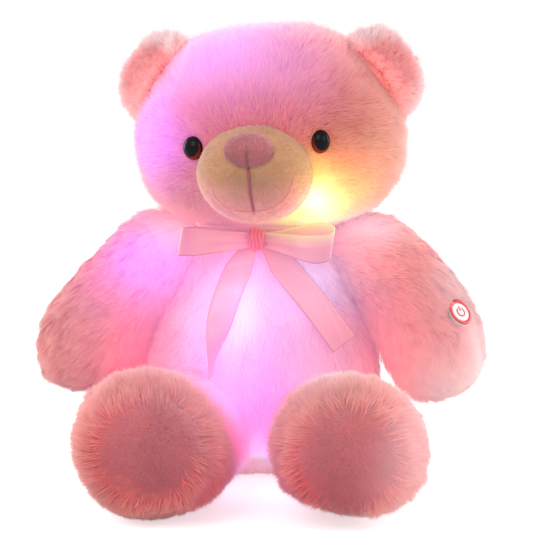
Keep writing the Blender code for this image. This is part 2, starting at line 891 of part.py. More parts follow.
ribbon = material("ribbon_satin", RIBBON_PINK, 0.4)
knot_height = TORSO_HEIGHT - KNOT_DROP
band_low = TORSO_HEIGHT - BAND_HEIGHT
band_outer = BAND_RADIUS + RIBBON_THICKNESS
neck_band = turned(
    "neck_ribbon",
    (
        (BAND_RADIUS, TORSO_HEIGHT),
        (band_outer, TORSO_HEIGHT - RIBBON_THICKNESS),
        (band_outer + RIBBON_THICKNESS, (TORSO_HEIGHT + band_low) / 2),
        (band_outer, band_low + RIBBON_THICKNESS),
        (BAND_RADIUS, band_low),
        (BAND_RADIUS, TORSO_HEIGHT),
    ),
    BAND_SIDES,
    ribbon,
)
knot_front = -(band_outer + RIBBON_THICKNESS + GAP) - KNOT_DEPTH
knot_middle = Vector((0, knot_front + KNOT_DEPTH / 2, knot_height))
knot = rounded_form(
    "bow_knot", (KNOT_WIDTH, KNOT_DEPTH, KNOT_HEIGHT), KNOT_FULLNESS, KNOT_SIDES, KNOT_BANDS, ribbon
)
knot.location = knot_middle
knot_grown = rounded_form(
    "knot_grown",
    (KNOT_WIDTH, KNOT_DEPTH, KNOT_HEIGHT),
    KNOT_FULLNESS,
    KNOT_SIDES,
    KNOT_BANDS,
    grow=SEAM_GAP,
)
knot_grown.location = knot_middle
cut(neck_band, torso_grown)


def make_loop(side):
    """A closed band of ribbon, narrow at the knot and open at its far end."""
    sign = SIDES[side]
    bm = bmesh.new()
    made = bmesh.ops.create_circle(bm, segments=LOOP_SIDES, radius=1)
    for vert in made["verts"]:
        along = (1 - vert.co.x) / 2
        fullness = LOOP_NARROW_SHARE + (1 - LOOP_NARROW_SHARE) * along
        across = LOOP_OPENING / 2 * vert.co.y * fullness
        vert.co = (LOOP_LENGTH * along, across, -RIBBON_WIDTH / 2)
    band = bmesh.ops.extrude_edge_only(bm, edges=bm.edges)
    risen = [item for item in band["geom"] if isinstance(item, bmesh.types.BMVert)]
    bmesh.ops.translate(bm, vec=(0, 0, RIBBON_WIDTH), verts=risen)
    # The ribbon is drawn in where it enters the knot
    for vert in bm.verts:
        along = min(1, vert.co.x / LOOP_GATHER)
        vert.co.z *= LOOP_GATHER_SHARE + (1 - LOOP_GATHER_SHARE) * along
    loop = add_object("bow_loop_" + side, mesh_from(bm, "bow_loop_" + side), ribbon)
    wall = loop.modifiers.new("wall", "SOLIDIFY")
    wall.thickness = RIBBON_THICKNESS
    wall.offset = 0
    wall.use_even_offset = True
    droop = Matrix.Rotation(LOOP_DROOP, 4, "Y")
    sweep = Matrix.Rotation(-LOOP_SWEEP, 4, "Z")
    mirrored = Matrix.Scale(sign, 4, AXIS_X)
    loop.data.transform(mirrored @ sweep @ droop)
    if sign < 0:
        loop.data.flip_normals()
    loop.location = knot_middle + AXIS_X * sign * KNOT_WIDTH / 4
    cut(loop, knot_grown)


def make_tail(side, drop, out, bow_share):
    """A strip that leaves the knot and lies on the pile of the chest."""
    sign = SIDES[side]
    bm = bmesh.new()
    bmesh.ops.create_grid(bm, x_segments=2, y_segments=TAIL_STEPS, size=1)
    top = knot_height - TAIL_TOP_DROP
    loop_low = knot_height - RIBBON_WIDTH / 2
    set_back = knot_front + KNOT_DEPTH * TAIL_SET_BACK_SHARE
    for vert in bm.verts:
        along = (1 - vert.co.y) / 2
        height = top - drop * along
        bow = along + bow_share * along * (1 - along)
        middle = sign * (TAIL_START + (out - TAIL_START) * bow)
        widened = min(1, along / TAIL_WIDEN_SHARE)
        width = RIBBON_WIDTH / 2 * (TAIL_GATHER_SHARE + (1 - TAIL_GATHER_SHARE) * widened)
        lean = math.atan2(out, drop)
        across = vert.co.x * width
        height += sign * across * math.sin(lean)
        # Behind the loops it lies close to the chest, and below them it comes out onto the pile
        out_share = min(1, max(0, loop_low - height) / (drop * TAIL_LIE_SHARE)) ** 2
        on_pile = torso_front(max(height, 0)) - PILE_DEPTH * out_share
        vert.co = (middle + across * math.cos(lean), min(on_pile, set_back), height)
    tail = add_object("ribbon_tail_" + side, mesh_from(bm, "ribbon_tail_" + side), ribbon)
    wall = tail.modifiers.new("wall", "SOLIDIFY")
    wall.thickness = RIBBON_THICKNESS
    wall.offset = 0
    cut(tail, knot_grown)


for side_name in SIDES:
    make_loop(side_name)
make_tail("left", LEFT_TAIL_DROP, LEFT_TAIL_OUT, LEFT_TAIL_BOW_SHARE)
make_tail("right", RIGHT_TAIL_DROP, RIGHT_TAIL_OUT, RIGHT_TAIL_BOW_SHARE)


# Zip: two tapes with meshing teeth, a slider and its pull, in a straight seam of the back

zip_length = ZIP_HIGH - ZIP_LOW
zip_joint = add_empty("zip_frame", (0, torso_back(ZIP_HIGH) - ZIP_SINK, ZIP_HIGH))
zip_tilt = math.atan2(torso_back(ZIP_LOW) - torso_back(ZIP_HIGH), zip_length)
zip_joint.rotation_euler = (zip_tilt, 0, 0)
tape_finish = material("zip_tape", ZIP_TAPE_PINK, 0.8)
zip_metal = material("zip_metal", ZIP_METAL, 0.35, 0.9)
tooth_head = TOOTH_PITCH - TOOTH_NECK - 2 * GAP
tooth_count = int((zip_length - 2 * TAPE_END) / TOOTH_PITCH)


def make_tape(side):
    """A tape whose inner edge carries the teeth; each head fills the room between two necks."""
    sign = SIDES[side]
    bm = bmesh.new()
    bmesh.ops.create_cube(bm, size=1)
    width = TAPE_HALF_WIDTH - TAPE_EDGE
    bmesh.ops.scale(bm, vec=(width, TAPE_THICKNESS, zip_length), verts=bm.verts)
    bmesh.ops.translate(bm, vec=(TAPE_EDGE + width / 2, 0, -zip_length / 2), verts=bm.verts)
    first = -TAPE_END - TOOTH_PITCH / 2 - (TOOTH_PITCH / 2 if sign < 0 else 0)
    middles = [first - TOOTH_PITCH * index for index in range(tooth_count)]
    for middle in middles:
        for edge in (-TOOTH_NECK / 2, TOOTH_NECK / 2):
            bmesh.ops.bisect_plane(
                bm,
                geom=list(bm.verts) + list(bm.edges) + list(bm.faces),
                plane_co=(0, 0, middle + edge),
                plane_no=AXIS_Z,
                dist=WELD,
            )
    roots = []
    for face in bm.faces:
        centre = face.calc_center_median()
        on_edge = abs(centre.x - TAPE_EDGE) < WELD
        if on_edge and any(abs(centre.z - middle) < WELD for middle in middles):
            roots.append(face)
    shoulder = (TOOTH_THICKNESS - TAPE_THICKNESS) / 2
    for root in roots:
        middle = root.calc_center_median().z
        face = root
        for reach, thick, tall in (
            (TAPE_EDGE - shoulder, TOOTH_THICKNESS, TOOTH_NECK),
            (-TOOTH_MIDDLE, TOOTH_THICKNESS, TOOTH_NECK),
            (-TOOTH_MIDDLE - shoulder, TOOTH_THICKNESS, tooth_head),
            (-TOOTH_REACH, TOOTH_THICKNESS, tooth_head),
        ):
            face = bmesh.ops.extrude_discrete_faces(bm, faces=[face])["faces"][0]
            for vert in face.verts:
                vert.co.x = reach
                vert.co.y = math.copysign(thick / 2, vert.co.y)
                vert.co.z = middle + math.copysign(tall / 2, vert.co.z - middle)
    tape = add_object("zipper_tape_" + side, mesh_from(bm, "zipper_tape_" + side, False), tape_finish)
    if sign < 0:
        tape.data.transform(Matrix.Scale(-1, 4, AXIS_X))
        tape.data.flip_normals()
    tape.parent = zip_joint


for side_name in SIDES:
    make_tape(side_name)

bottom_stop = box(
    "zipper_bottom_stop",
    (-STOP_WIDTH / 2, TAPE_THICKNESS / 2 + GAP, -zip_length + GAP),
    (STOP_WIDTH / 2, TAPE_THICKNESS / 2 + GAP + STOP_THICKNESS, -zip_length + STOP_HEIGHT),
    zip_metal,
)
bottom_stop.parent = zip_joint

# The slider: two plates about the teeth, flanges over the tapes, a post and a bail
slider_joint = add_empty("slider_joint", (0, 0, -SLIT_END - GAP - SLIDER_LENGTH / 2), zip_joint)
plate_low = TOOTH_THICKNESS / 2 + GAP
plate_high = plate_low + SLIDER_PLATE
half_length = SLIDER_LENGTH / 2
slider_outline = (
    (-SLIDER_HALF_WIDE, half_length),
    (-SLIDER_HALF_NARROW, -half_length),
    (SLIDER_HALF_NARROW, -half_length),
    (SLIDER_HALF_WIDE, half_length),
)
upright = Matrix.Rotation(math.pi / 2, 4, "X")


def slider_plate(name, middle, finish=None):
    plate = flat_piece(name, (slider_outline,), SLIDER_PLATE, finish)
    plate.data.transform(Matrix.Translation(AXIS_Y * middle) @ upright)
    plate.parent = slider_joint
    return plate


plate_middle = (plate_low + plate_high) / 2
slider = slider_plate("zipper_slider", plate_middle, zip_metal)
back_plate = slider_plate("slider_back_plate", -plate_middle)
post = turned(
    "slider_post",
    cylinder_profile(SLIDER_POST_RADIUS, plate_middle, -plate_middle),
    LAMP_STEPS,
)
post.parent = slider_joint
post.rotation_euler = (math.pi / 2, 0, 0)
post.location = (0, 0, half_length - 2 * SLIDER_POST_RADIUS)
slider_tools = [back_plate, post]
for index, (sign_x, sign_y) in enumerate(((1, 1), (-1, 1), (1, -1), (-1, -1))):
    near = SLIDER_SLOT / 2
    flange = box(
        f"slider_flange_{index}",
        (SLIDER_HALF_NARROW - SLIDER_FLANGE, near, -half_length + SLIDER_FLANGE),
        (SLIDER_HALF_NARROW - SLIDER_FLANGE / 4, plate_middle, half_length - SLIDER_FLANGE),
    )
    flange.data.transform(Matrix.Diagonal((sign_x, sign_y, 1, 1)))
    if sign_x * sign_y < 0:
        flange.data.flip_normals()
    flange.parent = slider_joint
    slider_tools.append(flange)
bail_points = (
    (0, plate_middle, BAIL_LENGTH / 2),
    (0, plate_high + BAIL_OPENING, BAIL_LENGTH / 2 - BAIL_THICKNESS),
    (0, plate_high + BAIL_OPENING, -BAIL_LENGTH / 2 + BAIL_THICKNESS),
    (0, plate_middle, -BAIL_LENGTH / 2),
)
bail = tube("slider_bail", bail_points, BAIL_THICKNESS / 2)
bail.parent = slider_joint
slider_tools.append(bail)
join(slider, *slider_tools)

pull_bar = PULL_THICKNESS / 2
pull_joint = add_empty("pull_joint", (0, plate_high + GAP + pull_bar, 0), slider_joint)
pull_outline = (
    (-PULL_HALF_WIDTH * PULL_TAPER_SHARE, pull_bar),
    (-PULL_HALF_WIDTH, -PULL_WINDOW_LENGTH),
    (-PULL_HALF_WIDTH, -PULL_LENGTH + PULL_HALF_WIDTH),
    (-PULL_HALF_WIDTH / 2, -PULL_LENGTH),
    (PULL_HALF_WIDTH / 2, -PULL_LENGTH),
    (PULL_HALF_WIDTH, -PULL_LENGTH + PULL_HALF_WIDTH),
    (PULL_HALF_WIDTH, -PULL_WINDOW_LENGTH),
    (PULL_HALF_WIDTH * PULL_TAPER_SHARE, pull_bar),
)
pull_window = (
    (-PULL_WINDOW_HALF, -pull_bar),
    (-PULL_WINDOW_HALF, -PULL_WINDOW_LENGTH),
    (PULL_WINDOW_HALF, -PULL_WINDOW_LENGTH),
    (PULL_WINDOW_HALF, -pull_bar),
)
pull = flat_piece("zipper_pull", (pull_outline, pull_window), PULL_THICKNESS, zip_metal)
pull.data.transform(upright)
pull.parent = pull_joint

# The seam in the back: a shallow channel for the tapes and a slit into the pocket
channel = box(
    "zip_channel",
    (-TAPE_HALF_WIDTH - GAP, -TAPE_THICKNESS / 2 - GAP, -zip_length - GAP),
    (TAPE_HALF_WIDTH + GAP, TORSO_DEPTH / 2, GAP),
)
box_width = CELL_COUNT * 2 * (CELL_RADIUS + CELL_CLEARANCE) + 2 * BOX_WALL
box_depth = 2 * (CELL_RADIUS + CELL_CLEARANCE) + BOX_WALL
bay_length = CELL_LENGTH + CELL_NUB_LENGTH + BOX_END_SPACE
box_height = bay_length + BOARD_SPACE + 3 * BOX_WALL
box_back = -TAPE_THICKNESS / 2 - POCKET_DEPTH_UNDER_TAPE - POCKET_CLEARANCE
box_top = -(zip_length - box_height) / 2
pocket = box(
    "pocket",
    (
        -box_width / 2 - POCKET_CLEARANCE,
        box_back - LID_THICKNESS - box_depth - POCKET_CLEARANCE,
        box_top - box_height - POCKET_CLEARANCE,
    ),
    (
        box_width / 2 + POCKET_CLEARANCE,
        box_back + POCKET_CLEARANCE,
        box_top + POCKET_CLEARANCE,
    ),
)
slit = box(
    "slit",
    (-SLIT_HALF_WIDTH, box_back - GAP, -zip_length + SLIT_END),
    (SLIT_HALF_WIDTH, TORSO_DEPTH / 2, -SLIT_END),
)
for made in (channel, slit, pocket):
    made.parent = zip_joint
cut(torso, channel, slit, pocket)


# Battery box: a tray with three bays and a room for the board, a lid and its screw

white_plastic = material("box_plastic", PLASTIC_WHITE, 0.5)
tray_back = box_back - LID_THICKNESS - GAP
tray_front = box_back - LID_THICKNESS - box_depth
box_low = box_top - box_height
tray = box(
    "battery_box",
    (-box_width / 2, tray_front, box_low),
    (box_width / 2, tray_back, box_top),
    white_plastic,
)
bays = box(
    "cell_bays",
    (-box_width / 2 + BOX_WALL, tray_front + BOX_WALL, box_low + BOX_WALL),
    (box_width / 2 - BOX_WALL, tray_back + OVERRUN, box_low + BOX_WALL + bay_length),
)
board_room = box(
    "board_room",
    (-box_width / 2 + BOX_WALL, tray_front + BOX_WALL, box_top - BOX_WALL - BOARD_SPACE),
    (box_width / 2 - SCREW_ROOM, tray_back + OVERRUN, box_top - BOX_WALL),
)
lid = box(
    "battery_lid",
    (-box_width / 2, tray_back + GAP, box_low),
    (box_width / 2, tray_back + GAP + LID_THICKNESS, box_top),
    white_plastic,
)
screw_place = Vector(
    (
        box_width / 2 - SCREW_INSET,
        tray_back + GAP + LID_THICKNESS,
        box_top - BOX_WALL - BOARD_SPACE / 2,
    )
)
screw_seat = facing_matrix(screw_place, AXIS_Y)
lid_screw = turned(
    "lid_screw",
    (
        (0, 0),
        (LID_SCREW_HEAD, 0),
        (LID_SCREW_HEAD, -LID_SCREW_HEAD_HEIGHT),
        (LID_SCREW_RADIUS, -LID_SCREW_HEAD_HEIGHT),
        (LID_SCREW_RADIUS, LID_SCREW_RADIUS - LID_SCREW_LENGTH),
        (0, -LID_SCREW_LENGTH),
    ),
    LAMP_STEPS,
    material("screw_steel", ZIP_METAL, 0.3, 1.0),
)
screw_hole = turned(
    "screw_hole",
    (
        (0, LID_SCREW_RADIUS),
        (LID_SCREW_HEAD + GAP, LID_SCREW_RADIUS),
        (LID_SCREW_HEAD + GAP, -LID_SCREW_HEAD_HEIGHT - GAP),
        (LID_SCREW_RADIUS + GAP, -LID_SCREW_HEAD_HEIGHT - GAP),
        (LID_SCREW_RADIUS + GAP, -LID_SCREW_LENGTH - GAP),
        (0, -LID_SCREW_LENGTH - GAP),
    ),
    LAMP_STEPS,
)
lid_screw.matrix_local = screw_seat
screw_hole.matrix_local = screw_seat
board = box(
    "control_board",
    (
        -box_width / 2 + BOX_WALL + GAP,
        tray_front + BOX_WALL + GAP,
        box_top - BOX_WALL - BOARD_SPACE + GAP,
    ),
    (
        box_width / 2 - SCREW_ROOM - GAP,
        tray_front + BOX_WALL + GAP + BOARD_THICKNESS,
        box_top - BOX_WALL - GAP,
    ),
    material("board_laminate", BOARD_GREEN, 0.4),
)
cut(tray, bays, board_room, screw_hole)
cut(lid, screw_hole)
for made in (tray, bays, board_room, lid, lid_screw, screw_hole, board):
    made.parent = zip_joint
lid_screw.parent = zip_joint

bay_low = box_low + BOX_WALL
bay_high = bay_low + bay_length
for name, low in (
    ("contact_strip_lower", bay_low + GAP),
    ("contact_strip_upper", bay_high - GAP - CONTACT_THICKNESS),
):
    strip = box(
        name,
        (-box_width / 2 + BOX_WALL + GAP, tray_front + BOX_WALL + GAP, low),
        (box_width / 2 - BOX_WALL - GAP, tray_back - GAP, low + CONTACT_THICKNESS),
        material("contact_metal", ZIP_METAL, 0.3, 1.0),
    )
    strip.parent = zip_joint

cell_profile = (
    (0, CELL_LENGTH / 2 + CELL_NUB_LENGTH),
    (CELL_NUB_RADIUS, CELL_LENGTH / 2 + CELL_NUB_LENGTH),
    (CELL_NUB_RADIUS, CELL_LENGTH / 2),
    (CELL_RADIUS, CELL_LENGTH / 2),
    (CELL_RADIUS, -CELL_LENGTH / 2),
    (0, -CELL_LENGTH / 2),
)
cell_middle_depth = tray_front + BOX_WALL + CELL_RADIUS + GAP
for index in range(CELL_COUNT):
    cell = turned(
        f"aa_cell_{index + 1}",
        cell_profile,
        CELL_STEPS,
        material("cell_sleeve", CELL_GREEN, 0.35),
    )
    across = (index - (CELL_COUNT - 1) / 2) * 2 * (CELL_RADIUS + CELL_CLEARANCE)
    cell.parent = zip_joint
    cell.location = (across, cell_middle_depth, (bay_low + bay_high) / 2)
    # Neighbours lie head to tail
    cell.rotation_euler = (math.pi * (index % 2), 0, 0)


# Lamps in the filling, on wires from the board

bpy.context.view_layer.update()
wire_finish = material("wire_insulation", WIRE_RED, 0.5)
lamp_finish = material("lamp_epoxy", LAMP_CLEAR, 0.2)


def lamp_profile(grow):
    half = LAMP_LENGTH / 2 + grow
    reach = LAMP_RADIUS + grow
    dome = dome_profile(reach, reach, half - reach, LAMP_DOME_STEPS)
    return dome + [(reach, -half), (0, -half)]


def make_lamp(name, holder):
    lamp = turned(name, lamp_profile(0), LAMP_STEPS, lamp_finish)
    room = turned(name + "_room", lamp_profile(GAP), LAMP_STEPS)
    for made in (lamp, room):
        made.location = lamps[name]
        if holder is head:
            made.parent = head_joint
            made.location = lamps[name] - neck
    cut(holder, room)


def wire_points(start, end, trim_start, trim_end):
    """A slack run between two places, shortened at each end."""
    start, end = Vector(start), Vector(end)
    along = (end - start).normalized()
    start = start + along * trim_start
    end = end - along * trim_end
    points = []
    for step in range(WIRE_POINTS):
        part = step / (WIRE_POINTS - 1)
        sag = AXIS_Z * -WIRE_SAG * math.sin(math.pi * part) ** 2
        points.append(start.lerp(end, part) + sag)
    return points


def make_wire(name, start, end, holder, trims, opened, parent=None):
    """A wire in the filling, in a channel that runs on past its two ends by the opened lengths."""
    shift = parent.matrix_world.translation if parent else Vector((0, 0, 0))
    points = [point - shift for point in wire_points(start, end, *trims)]
    first_way = (points[0] - points[1]).normalized()
    last_way = (points[-1] - points[-2]).normalized()
    longer = [points[0] + first_way * opened[0]] + points[1:-1] + [points[-1] + last_way * opened[1]]
    wire = tube(name, points, WIRE_RADIUS, wire_finish)
    channel_cutter = tube(name + "_channel", longer, WIRE_RADIUS + GAP)
    for made in (wire, channel_cutter):
        made.parent = parent
    cut(holder, channel_cutter)


lamps = {}
for lamp_name, lamp_shares in TORSO_LAMP_SHARES.items():
    lamps[lamp_name] = in_shares(lamp_shares, TORSO_SIZE)
    make_lamp(lamp_name, torso)
for lamp_name, lamp_shares in HEAD_LAMP_SHARES.items():
    lamps[lamp_name] = neck + in_shares(lamp_shares, HEAD_SIZE)
    make_lamp(lamp_name, head)

# At a lamp a wire stops clear of its corners, and at a wall or seam clear of its own tilt
to_world = zip_joint.matrix_world
lamp_end = math.hypot(LAMP_RADIUS, LAMP_LENGTH / 2) + 2 * GAP
past_lamp = LAMP_RADIUS
past_wall = WIRE_RADIUS + OVERRUN
box_front = tray_front - GAP
box_middle = (tray_back + tray_front) / 2
chest_outlet = to_world @ Vector((-box_width / 4, box_front, box_top - BOARD_SPACE))
belly_outlet = to_world @ Vector((-box_width / 4, box_front, box_low + BOARD_SPACE))
neck_outlet = to_world @ Vector((-box_width / 8, box_middle, box_top))
shoulder_outlet = to_world @ Vector((box_width / 2, box_middle, box_top - BOARD_SPACE / 2))
neck_crossing = Vector((-BAND_HEIGHT, BAND_HEIGHT, TORSO_HEIGHT))
box_to_lamp = (WALL_END, lamp_end), (past_wall, past_lamp)
lamp_to_lamp = (lamp_end, lamp_end), (past_lamp, past_lamp)
wall_to_wall = (WALL_END, WALL_END), (past_wall, past_wall)

make_wire("wire_chest", chest_outlet, lamps["lamp_chest"], torso, *box_to_lamp)
make_wire("wire_belly", belly_outlet, lamps["lamp_belly"], torso, *box_to_lamp)
make_wire("wire_shoulder", lamps["lamp_chest"], lamps["lamp_shoulder"], torso, *lamp_to_lamp)
make_wire("wire_neck", neck_outlet, neck_crossing, torso, *wall_to_wall)
make_wire("wire_head", neck_crossing, lamps["lamp_cheek_left"], head, *box_to_lamp, head_joint)
make_wire(
    "wire_crown", lamps["lamp_cheek_left"], lamps["lamp_crown"], head, *lamp_to_lamp, head_joint
)
make_wire(
    "wire_cheek", lamps["lamp_crown"], lamps["lamp_cheek_right"], head, *lamp_to_lamp, head_joint
)

# The switch's wire runs up the arm and crosses the shoulder seam
seam_start = AXIS_Z * ARM_ROUTE_SHARES[0][2] * TORSO_HEIGHT
seam_place, _ = surface_point(torso_grown, seam_start, AXIS_X)
switch_back = switch_place - switch_way * (SWITCH_DEPTH + GAP)
make_wire("wire_switch_feed", shoulder_outlet, seam_place, torso, *wall_to_wall)
make_wire("wire_switch", switch_back, seam_place, arms["left"], *wall_to_wall, arm_hinges["left"])
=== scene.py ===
import math

import bmesh
import bpy
import numpy as np
from mathutils import Matrix, Vector
from mathutils.bvhtree import BVHTree
from mathutils.kdtree import KDTree


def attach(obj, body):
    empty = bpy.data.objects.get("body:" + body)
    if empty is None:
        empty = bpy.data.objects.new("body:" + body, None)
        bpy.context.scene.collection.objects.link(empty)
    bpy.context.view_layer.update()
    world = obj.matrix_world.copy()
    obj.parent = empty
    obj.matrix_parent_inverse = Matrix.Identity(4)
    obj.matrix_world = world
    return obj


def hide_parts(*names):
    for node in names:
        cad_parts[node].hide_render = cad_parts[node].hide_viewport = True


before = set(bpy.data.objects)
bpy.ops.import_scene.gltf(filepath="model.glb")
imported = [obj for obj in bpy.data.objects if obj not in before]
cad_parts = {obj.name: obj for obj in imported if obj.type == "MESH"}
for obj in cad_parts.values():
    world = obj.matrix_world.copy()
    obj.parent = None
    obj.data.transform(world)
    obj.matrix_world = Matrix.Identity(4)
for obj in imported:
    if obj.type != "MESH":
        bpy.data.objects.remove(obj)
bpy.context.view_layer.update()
print("frame loaded")

millimetre = 0.001
up = Vector((0, 0, 1))
sides = {"left": 1, "right": -1}


photoView = {
    "turn": 6,  # degrees to the bear's left of straight on
    "raise": 8,  # degrees above level
    "distance": 1.5,
    "lookAt": (0, -0.020, 0.165),
    "zoomPixels": 1985,  # focal length in pixels of the square picture
    "pictureSize": 533,
    "middle": (262, 267),  # where the looked-at point lies in the picture
    "filmWidth": 36,
}


def placeCamera(values):
    turn, rise = math.radians(values["turn"]), math.radians(values["raise"])
    back = Vector((math.sin(turn) * math.cos(rise), -math.cos(turn) * math.cos(rise), math.sin(rise)))
    right = Vector((math.cos(turn), math.sin(turn), 0))
    top = back.cross(right)
    data = bpy.data.cameras.new("photoCamera")
    data.sensor_width = values["filmWidth"]
    data.lens = values["zoomPixels"] * values["filmWidth"] / values["pictureSize"]
    half = values["pictureSize"] / 2
    data.shift_x = (half - values["middle"][0]) / values["pictureSize"]
    data.shift_y = (values["middle"][1] - half) / values["pictureSize"]
    data.clip_start, data.clip_end = 0.05, 50
    camera = bpy.data.objects.new("photoCamera", data)
    bpy.context.scene.collection.objects.link(camera)
    place = Vector(values["lookAt"]) + back * values["distance"]
    camera.matrix_world = Matrix.Translation(place) @ Matrix((right, top, back)).transposed().to_4x4()
    bpy.context.scene.camera = camera


placeCamera(photoView)


# Gives each input of a node its value, or links it to the output that feeds it.
def feed(tree, node, inputs):
    for key, value in inputs.items():
        if isinstance(value, bpy.types.NodeSocket):
            tree.links.new(value, node.inputs[key])
        else:
            node.inputs[key].default_value = value


# A new shader node with what it is fed and with its properties.
def addNode(tree, kind, inputs=None, **properties):
    node = tree.nodes.new("ShaderNode" + kind)
    for key, value in properties.items():
        setattr(node, key, value)
    feed(tree, node, inputs or {})
    return node


studio = {
    "skyStrength": 0.64,  # light that the surroundings give, where 1 would be white
    "floorGrey": 0.80,
    "floorLift": 0.58,  # how much the floor shines to the camera alone, so that it stays white
    "floorRadius": 6,
    "lamps": {  # place, watts, side of the square, warmth
        "keyLamp": ((-0.55, -1.35, 1.15), 12.0, 1.0, (1.0, 0.985, 0.97)),
        "fillLamp": ((1.25, -0.95, 0.70), 5.5, 0.9, (1.0, 0.97, 0.95)),
        "rimLamp": ((0.10, 1.05, 1.15), 20.0, 1.1, (1.0, 0.99, 1.0)),
        "leftRimLamp": ((-1.10, 0.55, 0.45), 10.0, 0.8, (1.0, 0.98, 1.0)),
        "rightRimLamp": ((1.10, 0.55, 0.45), 9.0, 0.8, (1.0, 0.98, 1.0)),
    },
}


def buildStudio(values):
    world = bpy.data.worlds.new("studioWorld")
    world.use_nodes = True
    tree = world.node_tree
    ray = addNode(tree, "LightPath").outputs
    seen = {0: ray["Is Camera Ray"], 1: ray["Is Glossy Ray"]}
    seen = {0: addNode(tree, "Math", seen, operation="MAXIMUM").outputs[0], 1: ray["Is Transmission Ray"]}
    seen = addNode(tree, "Math", seen, operation="MAXIMUM").outputs[0]
    level = addNode(tree, "MapRange", {"Value": seen, "To Min": values["skyStrength"], "To Max": 1})
    sky = {"Color": (1, 1, 1, 1), "Strength": level.outputs["Result"]}
    feed(tree, tree.nodes["Background"], sky)
    bpy.context.scene.world = world

    floorFinish = bpy.data.materials.new("paleFloor")
    floorFinish.use_nodes = True
    tree = floorFinish.node_tree
    tree.nodes.clear()
    grey = values["floorGrey"]
    matt = addNode(tree, "BsdfDiffuse", {"Color": (grey, grey, grey, 1)})
    seen = {0: addNode(tree, "LightPath").outputs["Is Camera Ray"], 1: values["floorLift"]}
    seen = addNode(tree, "Math", seen, operation="MULTIPLY")
    glow = addNode(tree, "Emission", {"Strength": seen.outputs[0]})
    both = addNode(tree, "AddShader", {0: matt.outputs[0], 1: glow.outputs[0]})
    addNode(tree, "OutputMaterial", {"Surface": both.outputs[0]})
    bm = bmesh.new()
    bmesh.ops.create_circle(bm, cap_ends=True, segments=64, radius=values["floorRadius"])
    floor = bpy.data.objects.new("floor", bpy.data.meshes.new("floor"))
    bm.to_mesh(floor.data)
    bm.free()
    floor.data.materials.append(floorFinish)
    bpy.context.scene.collection.objects.link(floor)

    for name, (place, watts, side, tone) in values["lamps"].items():
        light = bpy.data.lights.new(name, "AREA")
        light.energy, light.size, light.color = watts, side, tone
        lamp = bpy.data.objects.new(name, light)
        lamp.location = place
        aim = Vector(photoView["lookAt"]) - Vector(place)
        lamp.rotation_euler = aim.to_track_quat("-Z", "Y").to_euler()
        bpy.context.scene.collection.objects.link(lamp)
    bpy.context.scene.view_settings.view_transform = "Standard"


buildStudio(studio)
print("camera and studio ready")


